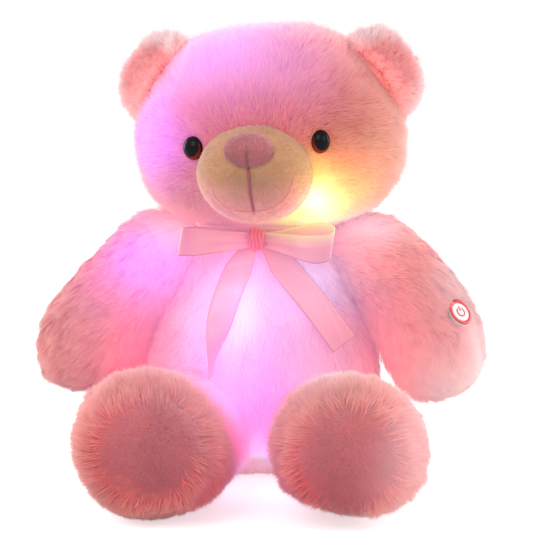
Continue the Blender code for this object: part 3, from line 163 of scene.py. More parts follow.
# Painted light, put on the cloth and pile as glow: the inner lamps' light through the pile, painted rim
# highlights where the studio lamps catch the edges, and painted fill light in shaded hollows such as the
# armpits, between the feet and under the seat.
paintedLight = {  # middle, reach along x, y and z in millimetres, colour
    "chestCore": ((-13, -62, 148), (18, 40, 34), (1.24, 0.40, 0.92)),
    "chestLow": ((-24, -66, 110), (20, 40, 28), (0.85, 0.00, 0.20)),
    "chestHalo": ((-12, -60, 128), (52, 50, 52), (0.60, 0.06, 0.30)),
    "bellyHalo": ((2, -72, 74), (42, 40, 36), (0.84, 0.01, 0.30)),
    "bodyWide": ((0, -50, 120), (110, 90, 85), (0.04, 0.22, 0.42)),
    "thighRight": ((-30, -90, 78), (26, 30, 24), (0.44, 0.18, 0.40)),
    "shoulderCore": ((-82, -36, 176), (36, 40, 26), (0.83, 0.09, 0.74)),
    "neckRight": ((-62, -30, 194), (26, 40, 16), (0.32, 0.26, 0.12)),
    "armRight": ((-104, -36, 156), (34, 40, 30), (0.02, 0.00, 0.06)),
    "cheekRight": ((-76, -52, 262), (26, 34, 30), (0.20, 0.08, 1.05)),
    "templeRight": ((-50, -42, 298), (34, 40, 34), (0.20, 0.05, 0.30)),
    "crown": ((-14, -36, 331), (52, 52, 28), (0.18, 0.16, 0.60)),
    "forehead": ((-18, -66, 308), (44, 50, 26), (0.12, 0.11, 0.44)),
    "headLeft": ((86, -40, 285), (34, 50, 44), (0.02, 0.03, 0.02)),
    "chestLeft": ((38, -56, 163), (24, 40, 28), (0.03, 0.28, 0.50)),
    "seatFront": ((0, -44, 10), (40, 34, 18), (0.52, 0.42, 0.52)),
    "crotch": ((0, -62, 34), (26, 36, 22), (0.16, 0.16, 0.40)),
    "cheekLeftCore": ((43, -70, 220), (13, 20, 13), (2.00, 1.75, 0.82)),
    "cheekLeftRing": ((53, -64, 224), (25, 34, 21), (1.65, 0.34, 0.00)),
    "cheekLeftHalo": ((70, -55, 233), (42, 45, 34), (0.08, 0.13, 0.00)),
    "chinHalo": ((16, -60, 208), (30, 34, 12), (0.37, 0.22, 0.00)),
    "shoulderLeft": ((70, -34, 188), (32, 40, 22), (0.26, 0.10, 0.10)),
    "armLeftRim": ((165, -28, 125), (14, 36, 56), (0.30, 0.44, 0.46)),
    "neckLeft": ((72, -45, 200), (30, 35, 13), (0.10, 0.46, 0.64)),
    "chinLeft": ((30, -68, 205), (22, 30, 10), (0.20, 0.64, 0.02)),
    "legTopLeft": ((58, -100, 96), (28, 40, 14), (0.10, 0.36, 0.40)),
    "armLowLeft": ((144, -44, 84), (32, 34, 30), (0.08, 0.26, 0.26)),
    "shoulderRimLeft": ((140, -10, 158), (22, 45, 24), (0.04, 0.22, 0.24)),
    "thighLeft": ((20, -105, 46), (18, 40, 24), (0.04, 0.06, 0.40)),
    "footSideLeft": ((112, -150, 64), (16, 50, 30), (0.06, 0.15, 0.18)),
    "armpitRight": ((-94, -45, 102), (24, 45, 40), (0.32, 0.02, 0.04)),
    "chestRight": ((-38, -60, 135), (20, 40, 55), (0.00, 0.14, 0.16)),
    "browLeft": ((32, -66, 300), (22, 40, 22), (0.08, 0.05, 0.13)),
    "underEyeLeft": ((44, -78, 241), (12, 20, 16), (0.30, 0.30, 0.00)),
    "headRimLeft": ((106, -18, 256), (11, 36, 42), (0.05, 0.28, 0.28)),
    "seatMiddle": ((6, -66, 19), (20, 30, 21), (0.06, 0.60, 0.60)),
    "armpitLeft": ((92, -45, 100), (28, 45, 45), (0.36, 0.06, 0.03)),
    "feetInside": ((10, -150, 50), (30, 60, 50), (0.12, 0.00, 0.02)),
    "footTopLeft": ((64, -120, 92), (45, 50, 22), (0.02, 0.05, 0.02)),
    "footRimLeft": ((108, -150, 34), (22, 50, 34), (0.18, 0.12, 0.12)),
    "footTopRight": ((-64, -120, 92), (45, 50, 22), (0.02, 0.02, 0.02)),
}


# A soft hump: 1 at its middle, falling off over its reach along each axis.
def hump(points, middle, reach):
    return np.exp(-(((points - middle) / reach) ** 2).sum(axis=1))[:, None]


# Colour of the painted light at each point of an array of places.
def paintedLightAt(points):
    spots = points / millimetre
    return sum(hump(spots, middle, reach) * colour for middle, reach, colour in paintedLight.values())


def newFinish(name, roughness=0.8, sheen=0.0, coat=0.0, metal=0.0):
    finish = bpy.data.materials.new(name)
    finish.use_nodes = True
    tree = finish.node_tree
    shader = tree.nodes["Principled BSDF"]
    feed(tree, shader, {
        "Roughness": roughness, "Metallic": metal, "Sheen Weight": sheen, "Sheen Roughness": 0.5,
        "Coat Weight": coat, "Coat Roughness": 0.05,
    })
    return finish, tree, shader


# Feeds the painted lamp light into a finish, and gives its painted tint.
def paintedTintAndLight(finish, tree, shader):
    tint = addNode(tree, "Attribute", attribute_name="tint")
    glow = addNode(tree, "Attribute", attribute_name="glow")
    feed(tree, shader, {"Emission Color": glow.outputs["Color"], "Emission Strength": 1})
    finish.cycles.emission_sampling = "NONE"
    return tint.outputs["Color"]


# A noise in Object coordinates, finer by its scale, which is in waves to a metre.
def addNoise(tree, scale, detail=3.0, stretch=None):
    place = addNode(tree, "TexCoord").outputs["Object"]
    if stretch:
        place = addNode(tree, "Mapping", {"Vector": place, "Scale": stretch}).outputs["Vector"]
    return addNode(tree, "TexNoise", {"Vector": place, "Scale": scale, "Detail": detail})


def mixColours(tree, kind, share, a, b):
    inputs = {"Factor": share, "A": a, "B": b}
    return addNode(tree, "Mix", inputs, data_type="RGBA", blend_type=kind).outputs["Result"]


# The colour from its darker share to its brighter one, as the value rises through the span.
def toneRamp(tree, value, colour, darker, brighter=1.0, span=(0, 1)):
    tone = addNode(tree, "ValToRGB", {"Fac": value})
    for spot, place, share in zip(tone.color_ramp.elements, span, (darker, brighter)):
        spot.position = place
        spot.color = (*(min(1, part * share) for part in colour), 1)
    return tone.outputs["Color"]


def addBump(tree, shader, height, strength, depth):
    bump = addNode(tree, "Bump", {"Height": height, "Strength": strength, "Distance": depth})
    feed(tree, shader, {"Normal": bump.outputs["Normal"]})


# Pile whose colour and lamp light are painted on its strands.
def pileFinish(name, roughness, sheen):
    finish, tree, shader = newFinish(name, roughness, sheen)
    feed(tree, shader, {"Base Color": paintedTintAndLight(finish, tree, shader), "Specular IOR Level": 0.2})
    return finish


# Cloth under the pile: painted tint and glow, with a fine knitted bump.
def clothFinish(name, roughness, sheen, knit, depth):
    finish, tree, shader = newFinish(name, roughness, sheen)
    noise = addNoise(tree, knit).outputs
    knitted = mixColours(tree, "MULTIPLY", 0.35, paintedTintAndLight(finish, tree, shader), noise["Color"])
    feed(tree, shader, {"Base Color": knitted, "Specular IOR Level": 0.2})
    addBump(tree, shader, noise["Fac"], 0.6, depth)
    return finish


# Plastic, metal or thread with its own fine grain and a little unevenness of colour.
def grainFinish(name, colour, darker, grain, roughness, depth, metal=0.0, coat=0.0, stretch=None, light=0.0,
                sheen=0.0, detail=4, brighter=1.0, span=(0.35, 0.65), bump=0.4):
    finish, tree, shader = newFinish(name, roughness, sheen, coat, metal)
    noise = addNoise(tree, grain, detail, stretch).outputs["Fac"]
    tone = toneRamp(tree, noise, colour, darker, brighter, span)
    feed(tree, shader, {"Base Color": tone})
    if light:
        feed(tree, shader, {"Emission Color": tone, "Emission Strength": light})
    addBump(tree, shader, noise, bump, depth)
    return finish


longPile = pileFinish("longPile", 0.75, 0.35)
shortPile = pileFinish("shortPile", 0.85, 0.45)
plushBacking = clothFinish("plushBacking", 0.9, 0.3, 900, 0.0006)
velourCloth = clothFinish("velourCloth", 0.85, 0.5, 1400, 0.0004)


def addPiece(name, mesh, finish, body, slot, *nodes):
    piece = bpy.data.objects.new(name, mesh)
    mesh.materials.append(finish)
    bpy.context.scene.collection.objects.link(piece)
    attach(piece, body)
    if nodes:
        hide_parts(*nodes)
    return piece


def finishMesh(bm, name, smooth=True):
    mesh = bpy.data.meshes.new(name)
    for face in bm.faces:
        face.smooth = smooth
    bm.to_mesh(mesh)
    bm.free()
    return mesh


# A ray-casting tree over CAD nodes or finished pieces, merged into one.
def treeOf(names):
    bm = bmesh.new()
    for name in names:
        bm.from_mesh(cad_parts[name].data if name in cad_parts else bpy.data.meshes[name])
    tree = BVHTree.FromBMesh(bm)
    bm.free()
    return tree


def readVectors(rows, key):
    values = np.empty(len(rows) * 3, np.float32)
    rows.foreach_get(key, values)
    return values.reshape(-1, 3).astype(float)


def readPoints(mesh):
    return readVectors(mesh.vertices, "co")


def writePoints(mesh, points):
    mesh.vertices.foreach_set("co", points.astype(np.float32).ravel())
    mesh.update()


def readNormals(mesh):
    return readVectors(mesh.vertex_normals, "vector")


# Writes an array of colours, one for each vertex, as a colour attribute.
def paint(mesh, name, colours):
    layer = mesh.attributes.get(name) or mesh.attributes.new(name, "FLOAT_COLOR", "POINT")
    full = np.ones((len(mesh.vertices), 4), np.float32)
    full[:, :3] = colours
    layer.data.foreach_set("color", full.ravel())


def unit(vectors):
    return vectors / np.maximum(np.linalg.norm(vectors, axis=1), 1e-9)[:, None]


def ramp(values, low, high):
    share = np.clip((values - low) / (high - low), 0, 1)
    return share * share * (3 - 2 * share)


# Vectors turned about others by an angle each.
def turnAbout(axes, vectors, angles):
    return vectors * np.cos(angles)[:, None] + np.cross(axes, vectors) * np.sin(angles)[:, None]


waves = np.random.default_rng(11).normal(size=(6, 3))
wavePhases = np.random.default_rng(12).uniform(0, 6.28, 6)


# A smooth wandering value between about -1 and 1, which turns over within the pitch in metres.
def drift(points, pitch, layer=0):
    turned = np.roll(waves, layer, axis=1)
    total = np.zeros(len(points))
    for wave, phase in zip(turned, wavePhases):
        total += np.sin(points @ wave * (2.6 / pitch) + phase * (layer + 1))
    return total / 3


# A closed shell that lies on the outside of the CAD nodes, as seen from their middle.
def shellOver(name, nodeNames, middle, fineness, smoothing, swell):
    tree = treeOf(nodeNames)
    bm = bmesh.new()
    bmesh.ops.create_icosphere(bm, subdivisions=fineness, radius=1)
    middle = Vector(middle)
    outside = 0.5
    for vert in bm.verts:
        way = vert.co.normalized()
        vert.co = tree.ray_cast(middle + way * outside, -way)[0] or tree.find_nearest(middle)[0]
    for _ in range(smoothing):
        bmesh.ops.smooth_vert(
            bm, verts=bm.verts, factor=0.5, use_axis_x=True, use_axis_y=True, use_axis_z=True
        )
    bm.normal_update()
    for vert in bm.verts:
        vert.co += vert.normal * swell
    return finishMesh(bm, name)


# Moves parts of a shell a little, each by a soft hump: its middle, its reach and how far it shifts.
def nudge(mesh, moves):
    points = readPoints(mesh)
    for middle, reach, shift in moves:
        points += hump(points, middle, reach) * shift
    writePoints(mesh, points)


def stretch(mesh, middle, shares, shift):
    points = readPoints(mesh)
    writePoints(mesh, (points - middle) * shares + middle + shift)


# Roots spread evenly over a shell, thinned by a density at each vertex.
def sampleShell(mesh, count, density, rng):
    mesh.calc_loop_triangles()
    corners = np.empty(len(mesh.loop_triangles) * 3, np.int32)
    mesh.loop_triangles.foreach_get("vertices", corners)
    corners = corners.reshape(-1, 3)
    points, normals = readPoints(mesh), readNormals(mesh)
    a, b, c = (points[corners[:, i]] for i in range(3))
    area = np.linalg.norm(np.cross(b - a, c - a), axis=1) / 2
    weight = area * density[corners].mean(axis=1)
    picked = rng.choice(len(corners), count, p=weight / weight.sum())
    u, v = rng.random(count), rng.random(count)
    over = u + v > 1
    u[over], v[over] = 1 - u[over], 1 - v[over]
    shares = np.stack([1 - u - v, u, v], axis=1)
    chosen = corners[picked]

    def mixed(values):
        return (values[chosen] * shares.reshape(-1, 3, *[1] * (values.ndim - 1))).sum(axis=1)

    return mixed(points), unit(mixed(normals)), mixed


# For each strand, the strand at the middle of its tuft.
def tuftTips(roots, strands, perTuft, rng):
    count = max(1, strands // perTuft)
    leaders = rng.choice(strands, count, replace=False)
    tree = KDTree(count)
    for index, leader in enumerate(leaders):
        tree.insert(roots[leader], index)
    tree.balance()
    return leaders[np.array([tree.find(root)[1] for root in roots])]


# The middle line of each strand: root, bend and tip, drawn together into tufts.
def growStrands(roots, normals, ways, lengths, style, rng):
    count = len(roots)
    leaders = tuftTips(roots, count, style["strandsPerTuft"], rng)
    tuftTurn = rng.normal(0, style["tuftStray"], count)[leaders]
    ways = turnAbout(normals, ways, tuftTurn + rng.normal(0, style["stray"], count))
    tuftLift = rng.normal(0, style["tuftLift"], count)[leaders]
    tuftLength = (1 + rng.normal(0, style["tuftLengthShare"], count))[leaders]
    reach = lengths * tuftLength * rng.uniform(0.78, 1.15, count)
    line = [roots - normals * style["rootDepth"]]
    for step, share in enumerate(style["stepShares"]):
        lean = np.radians(style["leans"][step]) + tuftLift + rng.normal(0, style["lift"], count)
        way = normals * np.cos(lean)[:, None] + ways * np.sin(lean)[:, None]
        way[:, 2] -= style["weight"] * (step + 0.5)
        line.append(line[-1] + unit(way) * (reach * share)[:, None])
    for step, pull in enumerate(style["gather"]):
        target = line[step + 1][leaders] + (roots - roots[leaders]) * style["tuftOpen"]
        line[step + 1] += (target - line[step + 1]) * pull
    return line


# Flat tapering strands, each of a quad and a tip.
def strandMesh(name, line, normals, style, rng):
    count = len(normals)
    widths = np.array(style["widths"]) * rng.uniform(0.75, 1.2, (count, 1))
    roll = rng.uniform(-style["roll"], style["roll"], count)
    points = np.empty((count, 5, 3))
    for step in range(2):
        along = unit(line[step + 1] - line[step])
        flat = unit(np.cross(along, normals) + 1e-6)
        half = turnAbout(along, flat, roll) * (widths[:, step] / 2)[:, None]
        points[:, 2 * step] = line[step] - half
        points[:, 2 * step + 1] = line[step] + half
    points[:, 4] = line[2]
    base = (np.arange(count) * 5)[:, None]
    corners = np.concatenate([base + q for q in ((0, 1, 3, 2), (2, 3, 4))], axis=1)
    mesh = bpy.data.meshes.new(name)
    mesh.vertices.add(count * 5)
    mesh.vertices.foreach_set("co", points.astype(np.float32).ravel())
    mesh.loops.add(count * 7)
    mesh.loops.foreach_set("vertex_index", corners.astype(np.int32).ravel())
    mesh.polygons.add(count * 2)
    starts = (np.arange(count) * 7)[:, None] + np.array([0, 4])
    mesh.polygons.foreach_set("loop_start", starts.astype(np.int32).ravel())
    mesh.polygons.foreach_set("use_smooth", np.ones(count * 2, bool))
    mesh.update()
    return mesh


# The strands shade as the rounded body does, with a little of their own spread.
def softenNormals(mesh, normals, line, rng, style):
    own = rng.normal(0, style["normalSpread"], normals.shape)
    out = unit(line[2] - line[0])
    each = unit(normals + own + out * style["normalLift"])
    full = np.repeat(each.astype(np.float32), 5, axis=0)
    mesh.normals_split_custom_set_from_vertices(full)


# Along a strand: two points at its root, two at its bend, and its tip.
tintSteps = ("rootTint", "rootTint", "midTint", "midTint", "tipTint")
# Painted light along a strand; the inner light is a painted fill light that lifts the shade deep in the
# pile, most at the root.
lightSteps = np.array([1.10, 1.10, 1.0, 1.0, 0.85])
innerSteps = np.array([1.8, 1.8, 1.0, 1.0, 0.7])
strandUv = np.array([(0, 0), (1, 0), (0, 1.5), (1, 1.5), (0.5, 3)]) * 0.002


# Deep colour at the root and pale at the tip, the pale tip partly the pile's own colour and partly a
# painted highlight on the lit fringe; varied from tuft to tuft; and the painted light.
def paintStrands(mesh, roots, style, rng):
    count = len(roots)
    tone = style["tintAt"](roots) if "tintAt" in style else np.ones((count, 3))
    steps = np.stack([tone * style[key] for key in tintSteps], axis=1)
    patchy = 1 + 0.05 * drift(roots, 0.030) + 0.04 * drift(roots, 0.009, 1)
    shade = patchy * rng.uniform(0.90, 1.08, count)
    paint(mesh, "tint", np.clip(steps * shade[:, None, None], 0, 0.98).reshape(-1, 3))
    light = paintedLightAt(roots)[:, None, :] * style["glowShare"] * lightSteps[:, None]
    if "lightAt" in style:
        light = light + style["lightAt"](roots)[:, None, :]
    light = light + np.array(style["innerLight"]) * innerSteps[:, None]
    paint(mesh, "glow", light.reshape(-1, 3))
    uv = mesh.uv_layers.new(name="OFBake")
    out = roots - roots.mean(axis=0)
    turned = np.arctan2(out[:, 0], -out[:, 1]) / (2 * math.pi) + 0.5
    tall = np.arctan2(out[:, 2], np.hypot(out[:, 0], out[:, 1])) / math.pi + 0.5
    spots = np.stack([turned, tall], axis=1) * 0.96 + 0.015
    each = (spots[:, None, :] + strandUv).reshape(-1, 2)
    vertexOf = np.empty(len(mesh.loops), np.int32)
    mesh.loops.foreach_get("vertex_index", vertexOf)
    uv.data.foreach_set("uv", each[vertexOf].astype(np.float32).ravel())


pileStyle = {
    "finish": longPile,
    "strandsPerTuft": 60,
    "tuftStray": 0.20,
    "stray": 0.22,
    "swirl": 0.4,
    "tuftLift": 0.07,
    "lift": 0.13,
    "tuftLengthShare": 0.08,
    "stepShares": (0.5, 0.5),
    "leans": (50, 72),  # degrees from upright, for the strand's lower and upper half
    "roll": 0.6,
    "weight": 0.08,
    "gather": (0.06, 0.22),
    "tuftOpen": 0.35,
    "rootDepth": 0.0006,
    "floorGap": (0.0004, 0.0012),  # the least height above the floor, and how much it varies
    "widths": (0.00046, 0.00038),
    "normalSpread": 0.12,
    "normalLift": 0.20,
    "rootTint": (0.68, 0.130, 0.115),
    "midTint": (0.77, 0.220, 0.185),
    "tipTint": (0.84, 0.40, 0.335),
    # painted fill light over the whole pile, which lifts the shade between the strands
    "innerLight": (0.09, 0.014, 0.016),
    "glowShare": 1.0,
}


# Grows the pile of a shell, in several pieces where one would be too heavy.
def grow(name, shell, parts, comb, density, lengthShare, style, body, slot, seed):
    for part in range(parts):
        rng = np.random.default_rng(seed + part)
        count = style["strands"] // parts
        roots, normals, mixed = sampleShell(shell, count, density, rng)
        ways = comb(roots)
        ways = unit(ways - normals * (ways * normals).sum(axis=1)[:, None])
        ways = turnAbout(normals, ways, style["swirl"] * drift(roots, 0.045, 2))
        lengths = style["length"] * mixed(lengthShare) * (1 + 0.10 * drift(roots, 0.028, 1))
        line = growStrands(roots, normals, ways, lengths, style, rng)
        least, more = style["floorGap"]
        for point in line:
            point[:, 2] = np.maximum(point[:, 2], least + more * rng.random(count))
        pieceName = name if parts == 1 else f"{name}{part + 1}"
        mesh = strandMesh(pieceName, line, normals, style, rng)
        paintStrands(mesh, roots, style, rng)
        softenNormals(mesh, normals, line, rng, style)
        addPiece(pieceName, mesh, style["finish"], body, slot)


def paintShell(mesh, style):
    points = readPoints(mesh)
    tint = np.array(style["rootTint"])[None] * (1 + 0.08 * drift(points, 0.03))[:, None]
    if "tintAt" in style:
        tint = tint * style["tintAt"](points)
    paint(mesh, "tint", np.clip(tint, 0, 0.98))
    paint(mesh, "glow", paintedLightAt(points) + np.array(style["innerLight"]))


# For each vertex of a shell, how free its outside is of the other nodes, from 0 to 1.
def roomAround(mesh, others, reach):
    tree = treeOf(others)
    free = np.ones(len(mesh.vertices))
    inset = 0.002  # the ray starts this far inside the cloth
    for index, vert in enumerate(mesh.vertices):
        hit = tree.ray_cast(vert.co - vert.normal * inset, vert.normal, reach + inset)
        if hit[0] is not None:
            free[index] = max(0.0, hit[3] - inset) / reach
    return free


# How far each point lies from a middle, as a share of the half width along each axis.
def farFrom(points, middle, half=(1, 1, 1)):
    return np.linalg.norm((points - middle) / np.array(half), axis=1)


head = {
    "middle": (0.0045, -0.004, 0.262),
    "half": (0.098, 0.079, 0.072),
    "faceMiddle": (0.002, -0.100, 0.238),
    "muzzleMiddle": (0.0010, -0.070, 0.2405),
    "muzzleHalf": (0.0408, 0.041, 0.0350),
    "eyes": {"left": (0.0482, -0.0755, 0.2644), "right": (-0.0448, -0.0712, 0.2586)},
    "nudges": [  # the crown's corners are a little lower than the solid's
        ((-0.080, -0.020, 0.312), (0.034, 0.080, 0.034), (0.008, 0, -0.008)),
        ((0.088, -0.020, 0.315), (0.034, 0.080, 0.034), (-0.008, 0, -0.008)),
    ],
    "pile": dict(pileStyle, strands=141000, length=0.0150),
}


# The pile is deeper in colour round the eyes and muzzle, where it is short.
def faceTint(places):
    eyes = hump(places, (0.008, -0.085, 0.272), (0.050, 0.050, 0.036)) * (0.13, 0.30, 0.29)
    temple = hump(places, (0.070, -0.050, 0.298), (0.040, 0.060, 0.044)) * (0.17, 0.28, 0.31)
    return 1 - eyes - temple


def buildHead():
    style = dict(head["pile"], tintAt=faceTint)
    shell = shellOver("headCloth", ["head"], head["middle"], 6, 3, -0.0004)
    nudge(shell, head["nudges"])
    paintShell(shell, style)
    cloth = addPiece("headCloth", shell, plushBacking, "head", "plush", "head")
    points = readPoints(shell)
    density, share = np.ones(len(points)), np.ones(len(points))
    for place in head["eyes"].values():
        far = farFrom(points, place)
        density *= ramp(far, 0.0070, 0.0100)
        share *= 0.38 + 0.62 * ramp(far, 0.009, 0.026)
    fromMuzzle = farFrom(points, head["muzzleMiddle"], head["muzzleHalf"])
    front = points[:, 1] < -0.03
    density[front] *= ramp(fromMuzzle[front], 0.93, 1.02)
    share[front] *= 0.42 + 0.58 * ramp(fromMuzzle[front], 1.0, 1.6)
    chin = front & (points[:, 2] < 0.232)
    share[chin] *= 0.55 + 0.45 * ramp(fromMuzzle[chin], 1.1, 1.5)
    under = ramp(points[:, 2], 0.199, 0.216)
    overBow = (1 - under) * (1 - ramp(np.abs(points[:, 0]), 0.030, 0.060))
    overBow *= ramp(-points[:, 1], 0.0, 0.02)
    density *= 0.5 + 0.5 * under
    share *= (0.72 + 0.28 * under) * (1 - 0.5 * overBow)

    def comb(places):
        away = places - head["faceMiddle"]
        behind = ramp(places[:, 1], -0.030, 0.028)[:, None]
        return unit(away) * (1 - 0.9 * behind) + np.array([[0, -0.05, -1.0]]) * behind

    grow("headPile", shell, 3, comb, density, share, style, "head", "plush", 100)


ears = {
    "left": {"middle": (0.0880, 0.000, 0.3170), "root": (0.070, 0.004, 0.297), "lean": 0.0},
    "right": {"middle": (-0.0815, 0.0075, 0.3122), "root": (-0.063, 0.010, 0.292), "lean": 0.010},
    # The ears' pile is paler towards its tips than the body's: a painted rim highlight.
    "pile": dict(
        pileStyle, strands=26000, length=0.0098, midTint=(0.84, 0.34, 0.30), tipTint=(0.90, 0.64, 0.62),
        leans=(46, 66), swirl=0.25, glowShare=0.04,
    ),
    "corner": ((0.119, -0.006, 0.336), (0.022, 0.050, 0.022), (-0.0045, 0, -0.0055)),  # rounded off
    "stretch": (0.95, 1, 1.0),
    "shift": (0.0, -0.0080, -0.0072),  # forwards and down
}


def buildEar(side):
    values, style = ears[side], ears["pile"]
    name = side.title()
    shell = shellOver("earCloth" + name, ["ear_" + side], values["middle"], 5, 2, -0.0003)
    shift = np.array(ears["shift"]) * (sides[side], 1, 1)
    stretch(shell, values["middle"], ears["stretch"], shift)
    place, reach, way = ears["corner"]
    place = (place[0] * sides[side] + values["lean"], *place[1:])
    nudge(shell, [(place, reach, (way[0] * sides[side], *way[1:]))])
    paintShell(shell, style)
    cloth = addPiece("earCloth" + name, shell, plushBacking, "head", "plush", "ear_" + side)
    points, normals = readPoints(shell), readNormals(shell)
    inner = normals[:, 1] < -0.3

    def rimAt(places):
        out = places - np.array(values["middle"]) - shift
        far = np.linalg.norm(out, axis=1)
        free = (out @ np.array([sides[side] * 0.70, 0, 0.71])) / np.maximum(far, 1e-6)
        return ramp(far, 0.018, 0.032) * (0.25 + 0.75 * ramp(free, -0.35, 0.35))

    # Paler towards the free rim: a painted rim highlight.
    def tintAt(places):
        return rimAt(places)[:, None] * (0.0, 0.48, 0.50) + (1.0, 0.71, 0.77)

    # Painted light: a little on the rim, and more in the crease at the head, where shade falls.
    def lightAt(places):
        crease = 1 - ramp(farFrom(places, head["middle"], head["half"]), 1.04, 1.24)
        return rimAt(places)[:, None] * (0.02, 0.13, 0.14) + crease[:, None] * (0.34, 0.15, 0.13)

    style = dict(style, tintAt=tintAt, lightAt=lightAt)
    share = np.where(inner, 0.60 + 0.40 * rimAt(points), 0.85 + 0.15 * rimAt(points))

    def comb(places):
        out = places - np.array(values["middle"]) - shift
        edge = ramp(np.hypot(out[:, 0], out[:, 2]), 0.018, 0.028)[:, None]
        away = unit(places - np.array(values["root"]) - shift)
        return away * (1 - 0.85 * edge) + np.array([[0, 1.0, 0]]) * edge

    grow("earPile" + name, shell, 1, comb, np.ones(len(points)), share, style, "head", "plush",
         200 + sides[side])


muzzle = {
    "middle": (0.0022, -0.088, 0.2415),
    "seam": ((-1.0, 262), (-1.2, 256), (-0.6, 249), (0.2, 240), (1.0, 230), (1.9, 221), (2.4, 214)),
    "smile": (
        (-28.5, 236.5), (-27.2, 229.5), (-23.6, 223.4), (-18.9, 219.4), (-12, 216.6), (-5, 215.6),
        (2, 215.8), (9.3, 216.8), (17, 219.4), (23, 223.8), (27.6, 229.8), (30, 235.8), (31, 241.5),
    ),  # millimetres across and up
    "stretch": (1.06, 1.02, 1.12),
    "shift": (-0.0012, -0.0004, -0.0010),
    "seamDeep": 0.0016,
    "seamHalf": 0.0020,
    "smileDeep": 0.0007,
    "smileHalf": 0.0011,
    "thread": {  # twisted: fine slanting ridges with a silky shine
        "darker": 0.6, "brighter": 1.4, "grain": 700, "detail": 2, "span": (0, 1), "roughness": 0.55,
        "sheen": 0.3, "bump": 0.7, "depth": 0.0003,
    },
    "threads": {"seam": (0.00075, (0.34, 0.060, 0.085)), "smile": (0.00052, (0.74, 0.28, 0.30))},
    "cream": (1.0, 0.88, 0.74),
    "pinkBelow": (1.56, 1.06, 1.90),
    "pile": dict(
        pileStyle, strands=28000, length=0.0027, finish=shortPile, strandsPerTuft=30, tuftStray=0.25,
        stray=0.30, leans=(30, 55), widths=(0.00040, 0.00034), swirl=0.2, glowShare=0.35,
        rootTint=(0.63, 0.34, 0.190), midTint=(0.66, 0.37, 0.210), tipTint=(0.72, 0.42, 0.255),
        innerLight=(0.04, 0.020, 0.010),
    ),
}

nose = {
    "middle": (0.0015, -0.0985, 0.2592),
    "stretch": (1.07, 1.0, 1.24),
    "shift": (-0.0028, -0.0012, -0.0002),
    "half": (0.0193, 0.030, 0.0126),  # where the muzzle's pile makes room for it
    "pile": dict(
        pileStyle, strands=8000, length=0.0016, finish=shortPile, strandsPerTuft=40, tuftStray=0.5,
        stray=0.5, leans=(30, 55), widths=(0.00036, 0.00030), swirl=0.3, rootTint=(0.38, 0.095, 0.100),
        midTint=(0.50, 0.150, 0.140), tipTint=(0.60, 0.22, 0.20), innerLight=(0.02, 0.004, 0.006),
    ),
}


# Evenly spread points on a smooth line through a few spots.
def curveThrough(spots, count):
    spots = np.array(spots, float)
    along = np.linspace(0, len(spots) - 1, count)
    start = np.clip(along.astype(int), 0, len(spots) - 2)
    part = (along - start)[:, None]
    padded = np.vstack([2 * spots[0] - spots[1], spots, 2 * spots[-1] - spots[-2]])
    a, b, c, d = (padded[start + i] for i in range(4))
    return 0.5 * (
        2 * b + (c - a) * part + (2 * a - 5 * b + 4 * c - d) * part ** 2
        + (3 * b - a - 3 * c + d) * part ** 3
    )


# How far each point lies from a line drawn on the front, seen straight on.
def farFromLine(points, line):
    flat = points[:, None, [0, 2]] - line[None, :, :]
    return np.linalg.norm(flat, axis=2).min(axis=1)


# A round thread through the points, thinner at its ends.
def threadAlong(name, points, radius, finish, body, slot):
    data = bpy.data.curves.new(name, "CURVE")
    data.dimensions = "3D"
    data.bevel_depth, data.bevel_resolution, data.use_fill_caps = radius, 2, True
    spline = data.splines.new("POLY")
    spline.points.add(len(points) - 1)
    for index, place in enumerate(points):
        spline.points[index].co = (*place, 1)
        end = min(index, len(points) - 1 - index) / 4
        spline.points[index].radius = min(1, 0.35 + 0.65 * end)
    source = bpy.data.objects.new(name, data)
    mesh = bpy.data.meshes.new_from_object(source)
    bpy.data.objects.remove(source)
    for face in mesh.polygons:
        face.use_smooth = True
    return addPiece(name, mesh, finish, body, slot)


